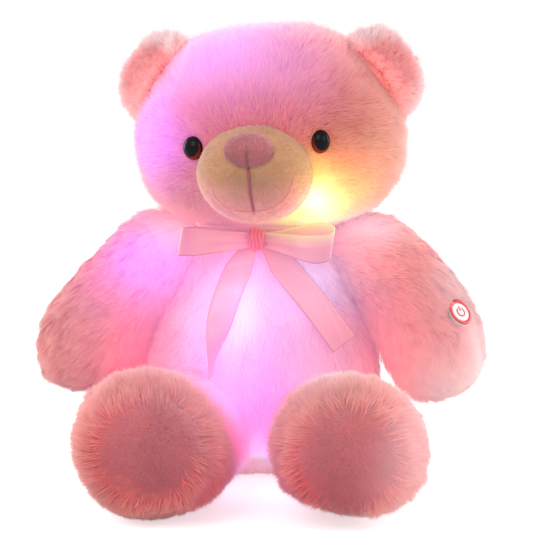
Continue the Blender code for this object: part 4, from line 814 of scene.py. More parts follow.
def buildMuzzle():
    lines = {
        "seam": curveThrough(muzzle["seam"], 40) * millimetre,
        "smile": curveThrough(muzzle["smile"], 70) * millimetre,
    }

    def tintAt(places):
        below = 1 - ramp(places[:, 2], 0.214, 0.246)[:, None]
        tone = (1 - below) * muzzle["cream"] + below * muzzle["pinkBelow"]
        tone = tone * (1 - 0.30 * hump(places[:, [0, 2]], (0.004, 0.238), (0.024, 0.020)))
        # Darker along the seam: painted shade in its groove; pinker and a little darker along the smile.
        seam = np.exp(-(farFromLine(places, lines["seam"]) / 0.0016) ** 2)[:, None]
        smile = np.exp(-(farFromLine(places, lines["smile"]) / 0.0013) ** 2)[:, None]
        return tone * (1 - seam * (0.30, 0.62, 0.50)) * (1 - smile * (0.06, 0.34, 0.22))

    style = dict(muzzle["pile"], tintAt=tintAt)
    shell = shellOver("muzzleCloth", ["muzzle"], muzzle["middle"], 6, 4, -0.0002)
    stretch(shell, muzzle["middle"], muzzle["stretch"], muzzle["shift"])
    points = readPoints(shell)
    front = points[:, 1] < -0.085
    deep = np.zeros(len(points))
    for key in ("seam", "smile"):
        far = farFromLine(points[front], lines[key])
        deep[front] += muzzle[key + "Deep"] * np.exp(-(far / muzzle[key + "Half"]) ** 2)
    points[:, 1] += deep
    writePoints(shell, points)
    paintShell(shell, style)
    cloth = addPiece("muzzleCloth", shell, velourCloth, "head", "muzzle_pile", "muzzle")
    noseMiddle = np.array(nose["middle"]) + np.array(nose["shift"])
    inNose = farFrom(points, noseMiddle, nose["half"])
    density = ramp(points[:, 1], -0.066, -0.070) * (0.05 + 0.95 * ramp(inNose, 0.86, 1.0))
    share = np.ones(len(points))
    for key, least in (("seam", 0.35), ("smile", 0.45)):
        far = np.full(len(points), 1.0)
        far[front] = farFromLine(points[front], lines[key])
        share *= least + (1 - least) * ramp(far, 0.0004, 0.0026)
    share *= 0.75 + 0.25 * ramp(inNose, 1.0, 1.3)

    def comb(places):
        return places - (0.0022, -0.104, 0.253)

    grow("muzzlePile", shell, 1, comb, density, share, style, "head", "muzzle_pile", 700)

    noseShell = shellOver("noseCloth", ["nose"], nose["middle"], 5, 3, -0.0001)
    stretch(noseShell, nose["middle"], nose["stretch"], nose["shift"])
    spots = readPoints(noseShell)
    crease = np.exp(-(farFromLine(spots, lines["seam"][:16]) / 0.0011) ** 2)
    spots[:, 1] += np.where(spots[:, 1] < -0.098, 0.0007 * crease, 0)
    writePoints(noseShell, spots)

    # Lighter on the top of the nose: a painted highlight; darker along the seam: painted shade in its
    # crease.
    def noseTint(places):
        rise = ramp(places[:, 2], 0.2530, 0.2680)[:, None]
        line = np.exp(-(farFromLine(places, lines["seam"][3:20]) / 0.0010) ** 2)[:, None]
        return (0.86 + 0.34 * rise * np.array([1, 1.15, 1.1])) * (1 - 0.5 * line)

    noseStyle = dict(nose["pile"], tintAt=noseTint)
    paintShell(noseShell, noseStyle)
    pad = addPiece("noseCloth", noseShell, velourCloth, "head", "nose_velour", "nose")
    facing = np.where(spots[:, 1] < -0.0965, 1.0, 0.0)
    grow("nosePile", noseShell, 1, comb, facing, np.ones(len(spots)), noseStyle, "head", "nose_velour", 720)

    tree = treeOf(["muzzleCloth", "noseCloth"])
    for key, (radius, colour) in muzzle["threads"].items():
        finish = grainFinish(key + "Thread", colour, stretch=(1, 1, 3), **muzzle["thread"])
        row = []
        for across, height in (lines[key][14:] if key == "seam" else lines[key]):
            hit = tree.ray_cast(Vector((across, -0.3, height)), Vector((0, 1, 0)))[0]
            row.append(hit + Vector((0, -0.0006, 0)))
        threadAlong(key + "Stitching", row, radius, finish, "head", "nose_velour")


eye = {
    "radius": 0.0078,
    "domeHeight": 0.0061,
    "rimBack": 0.0016,
    "oval": {"left": (0.88, 1.10, 1), "right": (1.04, 1.12, 1)},
    "pupilShare": 0.86,
    "pupilRaise": 0.0015,
    "black": 0.006,
    "ringColour": (0.15, 0.012, 0.006),
    "ringLight": {"left": (0.11, 0.010, 0.003), "right": (0.07, 0.005, 0.003)},
    "ways": {"left": (0.414, -0.909, -0.056), "right": (-0.488, -0.869, -0.080)},
}


# The spin operator orders its faces anew each run, so they are laid again in one fixed order.
def orderFaces(bm):
    bm.verts.index_update()
    rows = []
    for face in bm.faces:
        row = [vert.index for vert in face.verts]
        first = row.index(min(row))
        rows.append(row[first:] + row[:first])
    bmesh.ops.delete(bm, geom=list(bm.faces), context="FACES_ONLY")
    bm.verts.ensure_lookup_table()
    for row in sorted(rows):
        bm.faces.new([bm.verts[index] for index in row])


# Turns a profile of (out, along) spots round the z axis into a closed shape.
def spinProfile(bm, spots, steps):
    verts = [bm.verts.new((out, 0, along)) for out, along in spots]
    edges = [bm.edges.new(pair) for pair in zip(verts, verts[1:])]
    bmesh.ops.spin(
        bm, geom=verts + edges, axis=(0, 0, 1), cent=(0, 0, 0), angle=2 * math.pi, steps=steps,
        use_merge=True, use_duplicate=False,
    )
    bmesh.ops.remove_doubles(bm, verts=bm.verts, dist=1e-6)
    bmesh.ops.recalc_face_normals(bm, faces=bm.faces)
    orderFaces(bm)


# A place whose z axis looks along way and whose y axis is as upright as it can be.
def frameAt(place, way):
    z = Vector(way).normalized()
    x = up.cross(z).normalized()
    return Matrix.Translation(place) @ Matrix((x, z.cross(x), z)).transposed().to_4x4()


def eyeFinish():
    finish, tree, shader = newFinish("eyeGloss", 0.10)
    feed(tree, shader, {"Base Color": paintedTintAndLight(finish, tree, shader), "Specular IOR Level": 0.09})
    addBump(tree, shader, addNoise(tree, 2200, 2).outputs["Fac"], 0.04, 0.0001)
    return finish


def buildEyes():
    finish = eyeFinish()
    radius, height, rows = eye["radius"], eye["domeHeight"], 16
    for side in sides:
        bm = bmesh.new()
        spots = [(0, height)]
        for row in range(1, rows + 1):
            angle = math.pi / 2 * row / rows
            spots.append((radius * math.sin(angle), height * math.cos(angle)))
        spots += [(radius, -eye["rimBack"] / 2), (radius * 0.9, -eye["rimBack"]), (0, -eye["rimBack"])]
        spinProfile(bm, spots, 48)
        flat = np.array([(vert.co.x, vert.co.y) for vert in bm.verts])
        bmesh.ops.scale(bm, verts=bm.verts, vec=eye["oval"][side])
        bm.transform(frameAt(head["eyes"][side], eye["ways"][side]))
        mesh = finishMesh(bm, "eye" + side.title())
        fromPupil = np.linalg.norm(flat - np.array([0, eye["pupilRaise"]]), axis=1)
        ring = ramp(fromPupil, radius * eye["pupilShare"], radius * (eye["pupilShare"] + 0.05))
        edge = 1 - ramp(np.linalg.norm(flat, axis=1), radius * 0.95, radius)
        low = ramp(-flat[:, 1], -0.002, 0.005)
        share = (ring * edge)[:, None]
        paint(mesh, "tint", share * eye["ringColour"] + eye["black"])
        # Painted light on the lower side of the ring.
        paint(mesh, "glow", share * low[:, None] * eye["ringLight"][side])
        addPiece("eye" + side.title(), mesh, finish, "head", "eye_gloss", "eye_" + side)


torso = {
    "middle": (0, -0.003, 0.100),
    "zipHalf": 0.0105,
    "zipLow": 0.043,
    "zipHigh": 0.153,
    "nudges": [  # rounded up in front between the legs, fuller beside the right arm and the neck
        ((0, -0.054, 0.0), (0.046, 0.040, 0.024), (0, 0.012, 0.022)),
        ((-0.085, -0.020, 0.095), (0.020, 0.050, 0.030), (-0.005, 0, 0)),
        ((-0.054, -0.006, 0.190), (0.016, 0.034, 0.014), (-0.001, 0, 0.0040)),
    ],
    "pile": dict(pileStyle, strands=100000, length=0.0150),
}


def buildTorso():
    style = torso["pile"]
    zipNodes = ["zipper_tape_left", "zipper_tape_right"]
    shell = shellOver("torsoCloth", ["torso"] + zipNodes, torso["middle"], 6, 3, -0.0004)
    nudge(shell, torso["nudges"])
    points = readPoints(shell)
    onZip = (
        (np.abs(points[:, 0]) < 0.0175) & (points[:, 1] > 0)
        & (points[:, 2] > torso["zipLow"] - 0.003) & (points[:, 2] < torso["zipHigh"] + 0.003)
    )
    points[onZip, 1] -= 0.0022
    writePoints(shell, points)
    paintShell(shell, style)
    cloth = addPiece("torsoCloth", shell, plushBacking, "torso", "plush", "torso")
    free = roomAround(shell, ["arm_left", "arm_right", "leg_left", "leg_right", "head"], 0.009)
    density = 0.25 + 0.75 * free
    share = 0.30 + 0.70 * free
    rows = (points[:, 1] > 0) & (points[:, 2] > torso["zipLow"]) & (points[:, 2] < torso["zipHigh"])
    across = np.abs(points[rows, 0])
    density[rows] *= ramp(across, torso["zipHalf"], torso["zipHalf"] + 0.004)
    share[rows] *= 0.55 + 0.45 * ramp(across, 0.012, 0.030)
    under = (1 - ramp(points[:, 2], 0.012, 0.045)) * ramp(-points[:, 1], 0.0, 0.03)
    share *= 1 - 0.55 * under
    collar = ramp(points[:, 2], 0.170, 0.184)
    share = np.maximum(share, 0.85 * collar)
    density = np.maximum(density, collar)
    front = points[:, 1] < -0.02
    for side in sides:
        far = farFromLine(points[front], tailMiddle(side, 24))
        share[front] *= 0.50 + 0.50 * ramp(far, 0.008, 0.014)
    share[front] *= 0.62 + 0.38 * ramp(np.abs(points[front, 2] - 0.190), 0.008, 0.016)

    def comb(places):
        field = np.zeros_like(places)
        field[:, 2] = -1 + 1.6 * ramp(places[:, 2], 0.176, 0.192)
        field[:, 0] = places[:, 0] * 3
        return field

    grow("torsoPile", shell, 2, comb, density, share, style, "torso", "plush", 300)


arms = {
    "middle": (0.108, -0.010, 0.132),
    "shoulder": (0.040, 0.004, 0.186),
    "patchClear": 0.0114,
    "patchPocket": -0.0021,  # how deep the cloth lies under the patch, so that it can be pressed
    "nudges": {  # sloping shoulders and rounded ends
        "left": [
            ((0.130, -0.010, 0.155), (0.034, 0.050, 0.028), (-0.0015, 0, -0.0020)),
            ((0.084, -0.010, 0.196), (0.026, 0.045, 0.020), (0, 0, 0.0060)),
            ((0.156, -0.020, 0.072), (0.024, 0.050, 0.024), (-0.0030, 0, 0.0065)),
        ],
        "right": [
            ((-0.128, -0.010, 0.156), (0.034, 0.050, 0.028), (0.0042, 0, -0.0050)),
            ((-0.082, -0.010, 0.196), (0.026, 0.045, 0.020), (0, 0, 0.0055)),
            ((-0.094, -0.030, 0.088), (0.018, 0.040, 0.030), (0.0060, 0, 0)),
            ((-0.158, -0.020, 0.096), (0.024, 0.050, 0.036), (-0.0040, 0, 0)),
            ((-0.150, -0.020, 0.068), (0.028, 0.050, 0.020), (0.0020, 0, 0.0055)),
        ],
    },
    "pile": dict(pileStyle, strands=50000, length=0.0150),
}

patch = {
    "place": (0.14954, -0.03848, 0.13583),
    "way": (0.60045, -0.56042, 0.57043),
    "radius": 0.0108,
    "half": 0.0006,
    "ringInner": 0.0073,
    "ringOuter": 0.0106,
    "ringProud": 0.00022,
    "signRadius": 0.0034,
    "signHalf": 0.00055,
    "signOpening": 74,  # degrees
    "white": (0.86, 0.80, 0.76),
    "red": (0.58, 0.008, 0.014),
    "vinyl": {  # soft and printed: a faint grain and a satin gloss
        "darker": 0.90, "grain": 1500, "span": (0, 1), "roughness": 0.35, "coat": 0.25, "bump": 0.25,
        "depth": 0.0002,
    },
}


# How high each point lies above the patch's middle plane, and how far from its middle line.
def fromPatch(points):
    way = np.array(patch["way"])
    out = points - np.array(patch["place"])
    along = out @ way
    return along, np.linalg.norm(out - along[:, None] * way, axis=1)


# The left arm is more coral high on its front.
def armTint(places):
    return 1 - hump(places, (0.108, -0.045, 0.158), (0.034, 0.060, 0.036)) * (0.0, 0.17, 0.30)


def buildArm(side):
    style = dict(arms["pile"], tintAt=armTint)
    sign, name = sides[side], side.title()
    middle = Vector(arms["middle"])
    middle.x *= sign
    nodes = ["arm_" + side] + (["switch_housing"] if side == "left" else [])
    shell = shellOver("armCloth" + name, nodes, middle, 6, 3, -0.0004)
    nudge(shell, arms["nudges"][side])
    if side == "left":
        points = readPoints(shell)
        way = np.array(patch["way"])
        along, far = fromPatch(points)
        sunk = np.minimum(along, arms["patchPocket"])
        pocket = (along > -0.006) & (far < 0.0140)
        down = (sunk - along) * (1 - ramp(far, 0.0112, 0.0138))
        points[pocket] += down[pocket, None] * way
        writePoints(shell, points)
    paintShell(shell, style)
    cloth = addPiece("armCloth" + name, shell, plushBacking, "arm_" + side, "plush", "arm_" + side)
    points = readPoints(shell)
    free = roomAround(shell, ["torso"], 0.008)
    density = 0.30 + 0.70 * free
    share = 0.30 + 0.70 * free
    share *= 1 - 0.30 * ramp(points[:, 2], 0.145, 0.175) * ramp(np.abs(points[:, 0]), 0.090, 0.115)
    if side == "left":
        along, far = fromPatch(points)
        near = along > -0.020
        density[near] *= ramp(far[near], arms["patchClear"], arms["patchClear"] + 0.002)
        share[near] *= 0.36 + 0.64 * ramp(far[near], arms["patchClear"], 0.026)
    shoulder = np.array(arms["shoulder"]) * (sign, 1, 1)

    def comb(places):
        return places - shoulder

    grow("armPile" + name, shell, 1, comb, density, share, style, "arm_" + side, "plush", 400 + sign)


def buildPatch():
    white, red = (
        grainFinish("patch" + tone.title(), patch[tone], **patch["vinyl"]) for tone in ("white", "red")
    )
    place = frameAt(patch["place"], patch["way"])
    radius, half = patch["radius"], patch["half"]
    bm = bmesh.new()
    soft = 0.0004
    spinProfile(bm, [
        (0, half + 0.0003), (radius * 0.5, half + 0.0002), (radius - soft, half), (radius, half - soft),
        (radius, soft - half), (radius - soft, -half), (0, -half),
    ], 64)
    bm.transform(place)
    addPiece("patchFace", finishMesh(bm, "patchFace"), white, "button", "patch_vinyl", "press_patch")

    bm = bmesh.new()
    inner, outer, top = patch["ringInner"], patch["ringOuter"], half + patch["ringProud"]
    spinProfile(bm, [
        (inner, half - soft), (inner, top), (inner + 0.0002, top + 0.0001), (outer - 0.0002, top + 0.00002),
        (outer, top - 0.0001), (outer, half - soft), (inner, half - soft),
    ], 64)
    bm.transform(place)
    addPiece("patchRing", finishMesh(bm, "patchRing"), red, "button", "patch_vinyl")

    bm = bmesh.new()
    low, top = half, half + 0.0005
    reach, thick = patch["signRadius"], patch["signHalf"]
    ring = [bm.verts.new(spot) for spot in (
        (reach - thick, 0, low), (reach + thick, 0, low), (reach + thick, 0, top), (reach - thick, 0, top)
    )]
    start = bm.faces.new(ring)
    opening = math.radians(patch["signOpening"])
    bmesh.ops.rotate(bm, verts=ring, matrix=Matrix.Rotation(math.pi / 2 + opening / 2, 3, "Z"))
    bmesh.ops.spin(
        bm, geom=[start] + list(start.edges) + ring, axis=(0, 0, 1), cent=(0, 0, 0),
        angle=2 * math.pi - opening, steps=36, use_merge=False, use_duplicate=False,
    )
    bar = bmesh.ops.create_cube(bm, size=1)["verts"]
    bmesh.ops.scale(bm, verts=bar, vec=(2 * thick, reach * 1.15, top - low))
    bmesh.ops.translate(bm, verts=bar, vec=(0, reach * 0.78, (low + top) / 2))
    bmesh.ops.recalc_face_normals(bm, faces=bm.faces)
    orderFaces(bm)
    bm.transform(place)
    addPiece("patchSign", finishMesh(bm, "patchSign", False), red, "button", "patch_vinyl")


# Painted shade between the feet: their inner sides are a deeper pink, low down.
def betweenFeetShade(places):
    inside = np.where(places[:, :1] > 0, 0.040, -0.018)
    near = np.exp(-((places[:, :1] - inside) / 0.022) ** 2)
    low = 1 - ramp(places[:, 2:], 0.030, 0.060)
    return 1 - near * low * (0.06, 0.50, 0.40)


legs = {
    "middle": (0.066, -0.105, 0.050),
    "soleCentre": {"left": (0.0750, -0.171, 0.0540), "right": (-0.0650, -0.171, 0.0545)},
    "soleRadius": 0.0360,
    "soleCrown": 0.0045,
    "soleWall": 0.006,
    "soleSunk": 0.0026,
    "nudges": {  # the feet are rounder below, and narrower there, than the solids
        "left": [
            ((0.060, -0.166, 0.000), (0.052, 0.036, 0.020), (0, 0.002, 0.0120)),
            ((0.062, -0.128, 0.000), (0.050, 0.040, 0.016), (0, 0, 0.0045)),
            ((0.116, -0.140, 0.016), (0.026, 0.060, 0.026), (-0.0036, 0, 0.0030)),
            ((0.030, -0.140, 0.012), (0.024, 0.060, 0.024), (0.0045, 0, 0.0050)),
        ],
        "right": [
            ((-0.070, -0.166, 0.000), (0.060, 0.030, 0.014), (0, 0.002, 0.0030)),
            ((-0.116, -0.140, 0.030), (0.028, 0.060, 0.040), (0.0070, 0, 0.0025)),
            ((-0.022, -0.130, 0.022), (0.026, 0.070, 0.032), (0.0085, 0, 0.0015)),
        ],
    },
    "pile": dict(
        pileStyle, strands=62000, length=0.0135, leans=(40, 62), rootTint=(0.65, 0.125, 0.112),
        midTint=(0.74, 0.205, 0.178), tipTint=(0.80, 0.35, 0.305), tintAt=betweenFeetShade,
    ),
    "solePile": dict(
        pileStyle, strands=26000, length=0.0036, finish=shortPile, strandsPerTuft=40, tuftStray=0.20,
        stray=0.4, leans=(42, 66), widths=(0.00044, 0.00036), tuftLift=0.10, gather=(0.05, 0.18),
        rootTint=(0.46, 0.085, 0.092), midTint=(0.54, 0.122, 0.130), tipTint=(0.59, 0.18, 0.188),
        innerLight=(0.040, 0.008, 0.009), swirl=0.4,
    ),
}


def buildLeg(side):
    style = legs["pile"]
    sign, name = sides[side], side.title()
    middle = Vector(legs["middle"])
    middle.x *= sign
    shell = shellOver("legCloth" + name, ["leg_" + side, "sole_" + side], middle, 6, 2, -0.0004)
    nudge(shell, legs["nudges"][side])
    paintShell(shell, style)
    cloth = addPiece("legCloth" + name, shell, plushBacking, "leg_" + side, "plush", "leg_" + side)
    points = readPoints(shell)
    centre = np.array(legs["soleCentre"][side])
    radial = np.linalg.norm((points - centre)[:, [0, 2]], axis=1)
    front = points[:, 1] < -0.150
    free = roomAround(shell, ["torso"], 0.008)
    density = 0.30 + 0.70 * free
    share = 0.30 + 0.70 * free
    density[front] *= ramp(radial[front], legs["soleRadius"] - 0.0065, legs["soleRadius"] + 0.001)
    density *= 0.25 + 0.75 * ramp(points[:, 2], 0.001, 0.006)
    share *= 0.50 + 0.50 * ramp(points[:, 2], 0.004, 0.034)

    def comb(places):
        foot = ramp(-places[:, 1], 0.075, 0.130)
        field = np.zeros_like(places)
        field[:, 1] = foot
        field[:, 2] = 0.8 * foot - 1
        outward = places - centre
        outward[:, 1] = 0
        rim = ramp(-places[:, 1], 0.125, 0.165)[:, None]
        return field * (1 - 0.3 * rim) + unit(outward) * (0.25 + 0.75 * rim)

    grow("legPile" + name, shell, 1, comb, density, share, style, "leg_" + side, "plush", 500 + 10 * sign)
    buildSole(side, centre)


def buildSole(side, centre):
    name = side.title()
    bm = bmesh.new()
    radius, crown, rows = legs["soleRadius"] + 0.002, legs["soleCrown"], 14
    spots = [(0, crown)]
    for row in range(1, rows + 1):
        share = row / rows
        spots.append((radius * share, crown * math.sqrt(max(0, 1 - share ** 2.6))))
    spots += [(radius, -legs["soleWall"]), (0, -legs["soleWall"])]
    spinProfile(bm, spots, 56)
    place = Vector(centre) + Vector((0, legs["soleSunk"], 0))
    bm.transform(Matrix.Translation(place) @ Matrix.Rotation(math.pi / 2, 4, "X"))
    mesh = finishMesh(bm, "soleCloth" + name)

    def tintAt(places):
        out = places - centre
        low = ramp(-out[:, 2], -0.030, 0.036)[:, None]
        edge = ramp(np.hypot(out[:, 0], out[:, 2]), 0.026, 0.040)[:, None]
        return 1.15 - low * (0.20, 0.32, 0.28) + edge * (0.12, 0.45, 0.40)

    style = dict(legs["solePile"], tintAt=tintAt)
    paintShell(mesh, style)
    pad = addPiece("soleCloth" + name, mesh, velourCloth, "leg_" + side, "sole_pile", "sole_" + side)
    density = np.where(readNormals(mesh)[:, 1] < -0.2, 1.0, 0.0)

    def comb(places):
        out = places - centre
        out[:, 1] = 0
        out[:, 2] -= 0.020
        return out

    grow("solePile" + name, mesh, 1, comb, density, np.ones(len(density)), style, "leg_" + side,
         "sole_pile", 600 + sides[side])


ribbon = {
    "width": 0.021,
    "thickness": 0.0003,
    "knotMiddle": (0, -0.0537, 0.190),
    "knotHalf": (0.0064, 0.0062, 0.0076),
    "knotPleats": 5,
    "knotTone": (0.98, 0.56, 0.66),
    "pleatDeep": 0.0007,
    "loopReach": 0.0535,
    "loopHalfDepth": 0.0080,
    "loopForward": 10,  # degrees
    "loopEndShare": 0.52,
    "loopShear": {"left": 0.0062, "right": -0.0006},
    "bandRadius": 0.0464,
    "bandLow": 0.1878,
    "bandHigh": 0.1984,
    "bandFolds": 5,
    "bandFoldDeep": 0.0021,
    "tailTop": 0.188,
    "tailStart": 0.0041,
    "tails": {  # drop, how far out, bow, twist at the end in degrees
        "left": (0.075, 0.065, 0.16, 10),
        "right": (0.098, 0.032, 0.90, 88),
    },
    "tailLie": (0.0025, 0.0105),  # above the chest's cloth, at the knot and where it lies on the pile
    "lieFrom": 0.1795,
    "chestTop": 0.186,
    "tailBack": -0.0505,  # a tail never lies further back than this
    "tint": (0.72, 0.245, 0.285),
    "sheer": 0.34,  # how much of the lamps' light comes through
    "innerLight": (0.06, 0.010, 0.016),
}


# Places across and up along the middle of a tail.
def tailMiddle(side, count):
    drop, out, bow, _ = ribbon["tails"][side]
    along = np.linspace(0, 1, count)
    bowed = along + bow * along * (1 - along)
    across = sides[side] * (ribbon["tailStart"] + (out - ribbon["tailStart"]) * bowed)
    return np.stack([across, ribbon["tailTop"] - drop * along], axis=1)


# Satin ribbon: fine ribs across it, a firmer edge on each side, and a soft sheen.
def satinFinish():
    finish, tree, shader = newFinish("ribbonSatin", 0.38, 0.4)
    place = addNode(tree, "UVMap", uv_map="weave").outputs["UV"]
    wave = {"Vector": place, "Scale": 46, "Distortion": 0.4}
    wave = addNode(tree, "TexWave", wave, wave_type="BANDS", bands_direction="Y").outputs
    across = addNode(tree, "SeparateXYZ", {"Vector": place}).outputs["X"]
    centred = addNode(tree, "Math", {0: across, 1: 0.5}, operation="SUBTRACT")
    side = addNode(tree, "Math", {0: centred.outputs[0]}, operation="ABSOLUTE")
    hem = {"Value": side.outputs[0], "From Min": 0.455, "From Max": 0.475, "To Min": 1.0, "To Max": 0.78}
    hem = addNode(tree, "MapRange", hem).outputs["Result"]
    hemmed = mixColours(tree, "MULTIPLY", 1, paintedTintAndLight(finish, tree, shader), hem)
    ribbed = mixColours(tree, "MULTIPLY", 0.10, hemmed, wave["Color"])
    feed(tree, shader, {"Base Color": ribbed, "Anisotropic": 0.5})
    addBump(tree, shader, wave["Fac"], 0.15, 0.0001)
    return finish


def addWall(piece, thickness):
    wall = piece.modifiers.new("wall", "SOLIDIFY")
    wall.thickness, wall.offset = thickness, 0


# A strip of ribbon: a grid that is put down from its places across (-1 to 1) and along (0 to 1).
def ribbonPiece(name, columns, rows, place, closed, finish, node, toneAt=None):
    bm = bmesh.new()
    bm.loops.layers.uv.new("weave")
    bmesh.ops.create_grid(bm, x_segments=columns, y_segments=rows, size=1, calc_uvs=True)
    tones = bm.verts.layers.float_vector.new("tone")
    for vert in bm.verts:
        across, along = vert.co.x, (vert.co.y + 1) / 2
        vert[tones] = toneAt(across, along) if toneAt else (1, 1, 1)
        vert.co = place(across, along)
    if closed:
        bmesh.ops.remove_doubles(bm, verts=bm.verts, dist=1e-6)
    bmesh.ops.recalc_face_normals(bm, faces=bm.faces)
    shades = np.array([vert[tones][:] for vert in bm.verts])
    bm.verts.layers.float_vector.remove(tones)
    mesh = finishMesh(bm, name)
    points = readPoints(mesh)
    shades = shades * (1 + 0.05 * drift(points, 0.02))[:, None]
    # The tones scale both the tint and the glow; on the loops they are painted light and shade.
    paint(mesh, "tint", np.clip(np.array(ribbon["tint"])[None] * shades, 0, 0.98))
    light = paintedLightAt(points) * ribbon["sheer"] + np.array(ribbon["innerLight"])
    paint(mesh, "glow", light * shades)
    piece = addPiece(name, mesh, finish, "torso", "ribbon_satin", node)
    addWall(piece, ribbon["thickness"])


def buildRibbon():
    finish = satinFinish()
    knot = np.array(ribbon["knotMiddle"])
    half = ribbon["width"] / 2

    for side, sign in sides.items():
        shear = ribbon["loopShear"][side]
        turn = math.radians(ribbon["loopForward"])

        def loopPlace(across, along):
            angle = 2 * math.pi * along
            out = (1 - math.cos(angle)) / 2
            fullness = 0.30 + 0.70 * math.sin(min(1, out * 1.15) * math.pi * 0.62)
            reach = ribbon["loopReach"] * (out ** 0.80) * (1 + 0.030 * across * sign)
            deep = -ribbon["loopHalfDepth"] * math.sin(angle) * fullness
            wide = ribbon["loopEndShare"] + (1 - ribbon["loopEndShare"]) * min(1, out / 0.75) ** 0.8
            deep -= 0.0011 * math.cos(across * math.pi * 2.2) * (1 - out) ** 2
            deep += 0.0008 * math.sin(across * 2.5 + reach * 160) * out * (1 - out) * 3
            rise = across * half * wide - shear * math.sin(angle) * out
            x = reach * math.cos(turn) + deep * math.sin(turn)
            y = deep * math.cos(turn) - reach * math.sin(turn)
            return (sign * (x + 0.0038), knot[1] + y, knot[2] + rise - reach * 0.018)

        # Painted light and shade on a loop: a painted highlight where it folds back, lit from behind;
        # painted shade on the front beside the fold; and on the left loop a warm painted highlight along
        # its upper edge.
        def loopLightAndShade(across, along):
            fold = math.exp(-((along - 0.5) / 0.030) ** 2)
            beside = math.exp(-((along - 0.40) / 0.08) ** 2) * (0.55 if side == "right" else 0.2)
            red = 1 - 0.16 * beside + 0.12 * fold
            warm = 0.55 * max(0.0, across) if side == "left" else 0
            green = 1 - 0.24 * beside + 0.45 * fold + warm
            return (red, red * green, red * (1 + 0.10 * beside + 0.35 * fold))

        ribbonPiece("loop" + side.title(), 14, 96, loopPlace, False, finish, "bow_loop_" + side,
                    loopLightAndShade)

    def knotPlace(across, along):
        angle = 2 * math.pi * along
        x = across * ribbon["knotHalf"][0] * (0.86 + 0.14 * abs(math.sin(angle)))
        waist = 1 - 0.42 * across ** 4
        waist += 0.07 * math.sin(2 * angle + across * 3) + 0.04 * math.sin(5 * angle)
        fold = across * math.pi * ribbon["knotPleats"]
        fold += 1.6 * math.sin(angle + across) + 0.9 * math.sin(3 * angle)
        pleat = ribbon["pleatDeep"] * (math.cos(fold) + 0.4 * math.cos(2.3 * fold + angle))
        y, z = math.cos(angle), math.sin(angle)
        squareness = (abs(y) ** 2.6 + abs(z) ** 2.6) ** (-1 / 2.6)
        deep = (ribbon["knotHalf"][1] * waist + pleat) * y * squareness
        tall = (ribbon["knotHalf"][2] * waist + pleat) * z * squareness
        return (x, knot[1] + deep, knot[2] + tall)

    def knotTone(across, along):
        return ribbon["knotTone"]

    ribbonPiece("knot", 60, 44, knotPlace, True, finish, "bow_knot", knotTone)

    tree = treeOf(["torso"])
    for side, sign in sides.items():
        drop, out, bow, twistEnd = ribbon["tails"][side]
        lean = math.atan2(out, drop)

        def tailPlace(across, along):
            bowed = along + bow * along * (1 - along)
            middle = sign * (ribbon["tailStart"] + (out - ribbon["tailStart"]) * bowed)
            wide = half * (0.40 + 0.60 * min(1, along / 0.20))
            twist = math.radians(twistEnd) * float(ramp(np.array(along), 0.36, 1.0))
            flat = across * wide * math.cos(twist)
            x = middle + flat * math.cos(lean)
            height = ribbon["tailTop"] - drop * along + sign * flat * math.sin(lean) * 0.8
            hit = tree.ray_cast(Vector((x, -0.3, min(height, ribbon["chestTop"]))), Vector((0, 1, 0)))[0]
            low, high = ribbon["tailLie"]
            lie = low + (high - low) * float(ramp(np.array(ribbon["lieFrom"] - height), 0, 0.030))
            y = min(hit.y - lie, ribbon["tailBack"]) + across * wide * math.sin(twist)
            y -= 0.0008 * math.sin(along * 9 + across)
            return (x, y, height)

        ribbonPiece("tail" + side.title(), 10, 60, tailPlace, False, finish, "ribbon_tail_" + side)

    bm = bmesh.new()
    bm.loops.layers.uv.new("weave")
    rows = ribbon["bandFolds"] * 4
    spots = []
    for row in range(rows + 1):
        share = row / rows
        wave = math.sin(share * ribbon["bandFolds"] * math.pi)
        height = ribbon["bandLow"] + (ribbon["bandHigh"] - ribbon["bandLow"]) * share
        spots.append((ribbon["bandRadius"] + ribbon["bandFoldDeep"] * wave, height))
    spinProfile(bm, spots, 80)
    weave = bm.loops.layers.uv.verify()
    for face in bm.faces:
        middle = face.calc_center_median()
        for loop in face.loops:
            spot = loop.vert.co
            turned = math.atan2(middle.y, middle.x)
            ahead = math.remainder(math.atan2(spot.y, spot.x) - turned, 2 * math.pi) + turned
            rise = (spot.z - ribbon["bandLow"]) / (ribbon["bandHigh"] - ribbon["bandLow"])
            loop[weave].uv = (rise, ahead / (2 * math.pi) + 0.5)
    mesh = finishMesh(bm, "neckBand")
    points = readPoints(mesh)
    paint(mesh, "tint", np.broadcast_to(np.array(ribbon["tint"]) * 0.9, points.shape))
    paint(mesh, "glow", paintedLightAt(points) * 0.5 + np.array(ribbon["innerLight"]))
    band = addPiece("neckBand", mesh, finish, "torso", "ribbon_satin", "neck_ribbon")
    addWall(band, ribbon["thickness"])


zipper = {
    "tapeInner": 0.0013,
    "tapeOuter": 0.0134,
    "tapeThickness": 0.0005,
    "low": 0.0466,
    "high": 0.1498,
    "toothPitch": 0.00165,
    "toothSize": (0.0031, 0.0012, 0.00095),
    "tapeTint": (0.80, 0.34, 0.40),
    "toothTint": (0.86, 0.50, 0.54),
}


# Woven tape: a herringbone of two slanting waves.
def tapeFinish():
    finish, tree, shader = newFinish("zipTape", 0.75, 0.3)
    place = addNode(tree, "UVMap", uv_map="weave").outputs["UV"]
    slants = []
    for turn in (0.6, -0.6):
        turned = {"Vector": place, "Location": (-0.5, 0, 0), "Rotation": (0, 0, turn)}
        turned = addNode(tree, "Mapping", turned).outputs["Vector"]
        slants.append(addNode(tree, "TexWave", {"Vector": turned, "Scale": 9}).outputs["Color"])
    weave = mixColours(tree, "DARKEN", 1, *slants)
    feed(tree, shader, {"Base Color": toneRamp(tree, weave, zipper["tapeTint"], 0.72)})
    addBump(tree, shader, weave, 0.4, 0.0002)
    return finish


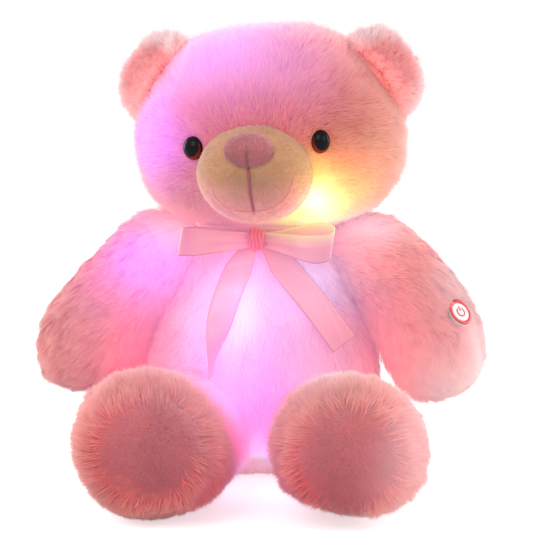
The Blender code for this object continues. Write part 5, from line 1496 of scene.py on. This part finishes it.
def buildZip():
    finish = tapeFinish()
    teethFinish = grainFinish("zipTeeth", zipper["toothTint"], 0.82, 900, 0.45, 0.0001)
    for side, sign in sides.items():
        tree = treeOf(["zipper_tape_" + side])

        def surface(x, z):
            hit = tree.ray_cast(Vector((x, 0.2, z)), Vector((0, -1, 0)))[0]
            return hit.y if hit else 0.055

        bm = bmesh.new()
        bm.loops.layers.uv.new("weave")
        bmesh.ops.create_grid(bm, x_segments=6, y_segments=52, size=1, calc_uvs=True)
        inner, outer = zipper["tapeInner"], zipper["tapeOuter"]
        for vert in bm.verts:
            across = (inner + outer) / 2 + vert.co.x * (outer - inner) / 2
            z = (zipper["low"] + zipper["high"]) / 2 + vert.co.y * (zipper["high"] - zipper["low"]) / 2
            sample = sign * max(across, 0.0050)
            vert.co = (sign * across, surface(sample, z) + 0.0003, z)
        bmesh.ops.recalc_face_normals(bm, faces=bm.faces)
        mesh = finishMesh(bm, "tape" + side.title())
        tape = addPiece("tape" + side.title(), mesh, finish, "torso", "zip_tape", "zipper_tape_" + side)
        addWall(tape, zipper["tapeThickness"])

        bm = bmesh.new()
        count = int((zipper["high"] - zipper["low"] - 0.004) / zipper["toothPitch"] / 2)
        wide, deep, tall = zipper["toothSize"]
        for index in range(count):
            z = zipper["low"] + 0.003 + (2 * index + (0.5 if sign > 0 else 1.5)) * zipper["toothPitch"]
            tooth = bmesh.ops.create_cube(bm, size=1)["verts"]
            bmesh.ops.scale(bm, verts=tooth, vec=(wide, deep, tall))
            y = surface(sign * 0.0050, z) + 0.0006
            bmesh.ops.translate(bm, verts=tooth, vec=(sign * wide * 0.28, y, z))
        bmesh.ops.bevel(
            bm, geom=list(bm.edges), offset=0.0002, segments=1, profile=0.5, affect="EDGES", material=-1
        )
        bmesh.ops.recalc_face_normals(bm, faces=bm.faces)
        addPiece("teeth" + side.title(), finishMesh(bm, "teeth" + side.title()), teethFinish, "torso",
                 "zip_tape")


# By the slot of the node: colour, darker share, grain, roughness, depth, metal, coat, stretch.
keptFinishes = {
    "washer_plastic": ((0.78, 0.78, 0.75), 0.92, 600, 0.5, 0.0001),
    "switch_plastic": ((0.72, 0.70, 0.68), 0.92, 500, 0.5, 0.0001),
    "housing_plastic": ((0.62, 0.62, 0.62), 0.90, 450, 0.55, 0.0002),
    "box_plastic": ((0.80, 0.79, 0.76), 0.93, 500, 0.5, 0.0002),
    "board_laminate": ((0.020, 0.17, 0.065), 0.70, 700, 0.35, 0.0001),
    "contact_metal": ((0.70, 0.69, 0.66), 0.80, 300, 0.30, 0.0001, 1.0, 0.0, (1, 1, 14)),
    "cell_sleeve": ((0.055, 0.075, 0.10), 0.75, 250, 0.30, 0.0001, 0.0, 0.6),
    "screw_steel": ((0.60, 0.60, 0.60), 0.75, 500, 0.30, 0.0001, 1.0, 0.0, (1, 10, 1)),
    "zip_metal": ((0.83, 0.58, 0.58), 0.85, 400, 0.28, 0.0001, 1.0, 0.3),
    "wire_insulation": ((0.62, 0.030, 0.030), 0.85, 300, 0.45, 0.0001),
}

lampColours = {
    "lamp_chest": (1.0, 0.75, 1.0),
    "lamp_belly": (1.0, 0.25, 0.85),
    "lamp_shoulder": (0.90, 0.30, 1.0),
    "lamp_cheek_left": (1.0, 0.80, 0.35),
    "lamp_crown": (1.0, 0.40, 0.85),
    "lamp_cheek_right": (0.70, 0.35, 1.0),
}


def finishKeptNodes():
    made = {slot: grainFinish(slot + "Finish", *values) for slot, values in keptFinishes.items()}
    blackWire = grainFinish("blackWire", (0.02, 0.02, 0.022), 0.7, 300, 0.45, 0.0001)
    for name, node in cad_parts.items():
        slot = node.material_slots[0].material.name.split(".")[0]
        if slot in made:
            node.material_slots[0].material = made[slot]
        if name in ("wire_neck", "wire_switch", "wire_crown"):
            node.material_slots[0].material = blackWire
        if name in lampColours:
            node.material_slots[0].material = grainFinish(
                name + "Finish", lampColours[name], 0.85, 300, 0.2, 0.0001, coat=0.5, light=2.0
            )


buildHead()
print("head covered")
for sideName in sides:
    buildEar(sideName)
buildMuzzle()
buildEyes()
print("face made")
buildTorso()
print("torso covered")
for sideName in sides:
    buildArm(sideName)
    buildLeg(sideName)
print("limbs covered")
buildPatch()
buildRibbon()
print("patch and ribbon made")
buildZip()
finishKeptNodes()
print("zip and inner parts finished")
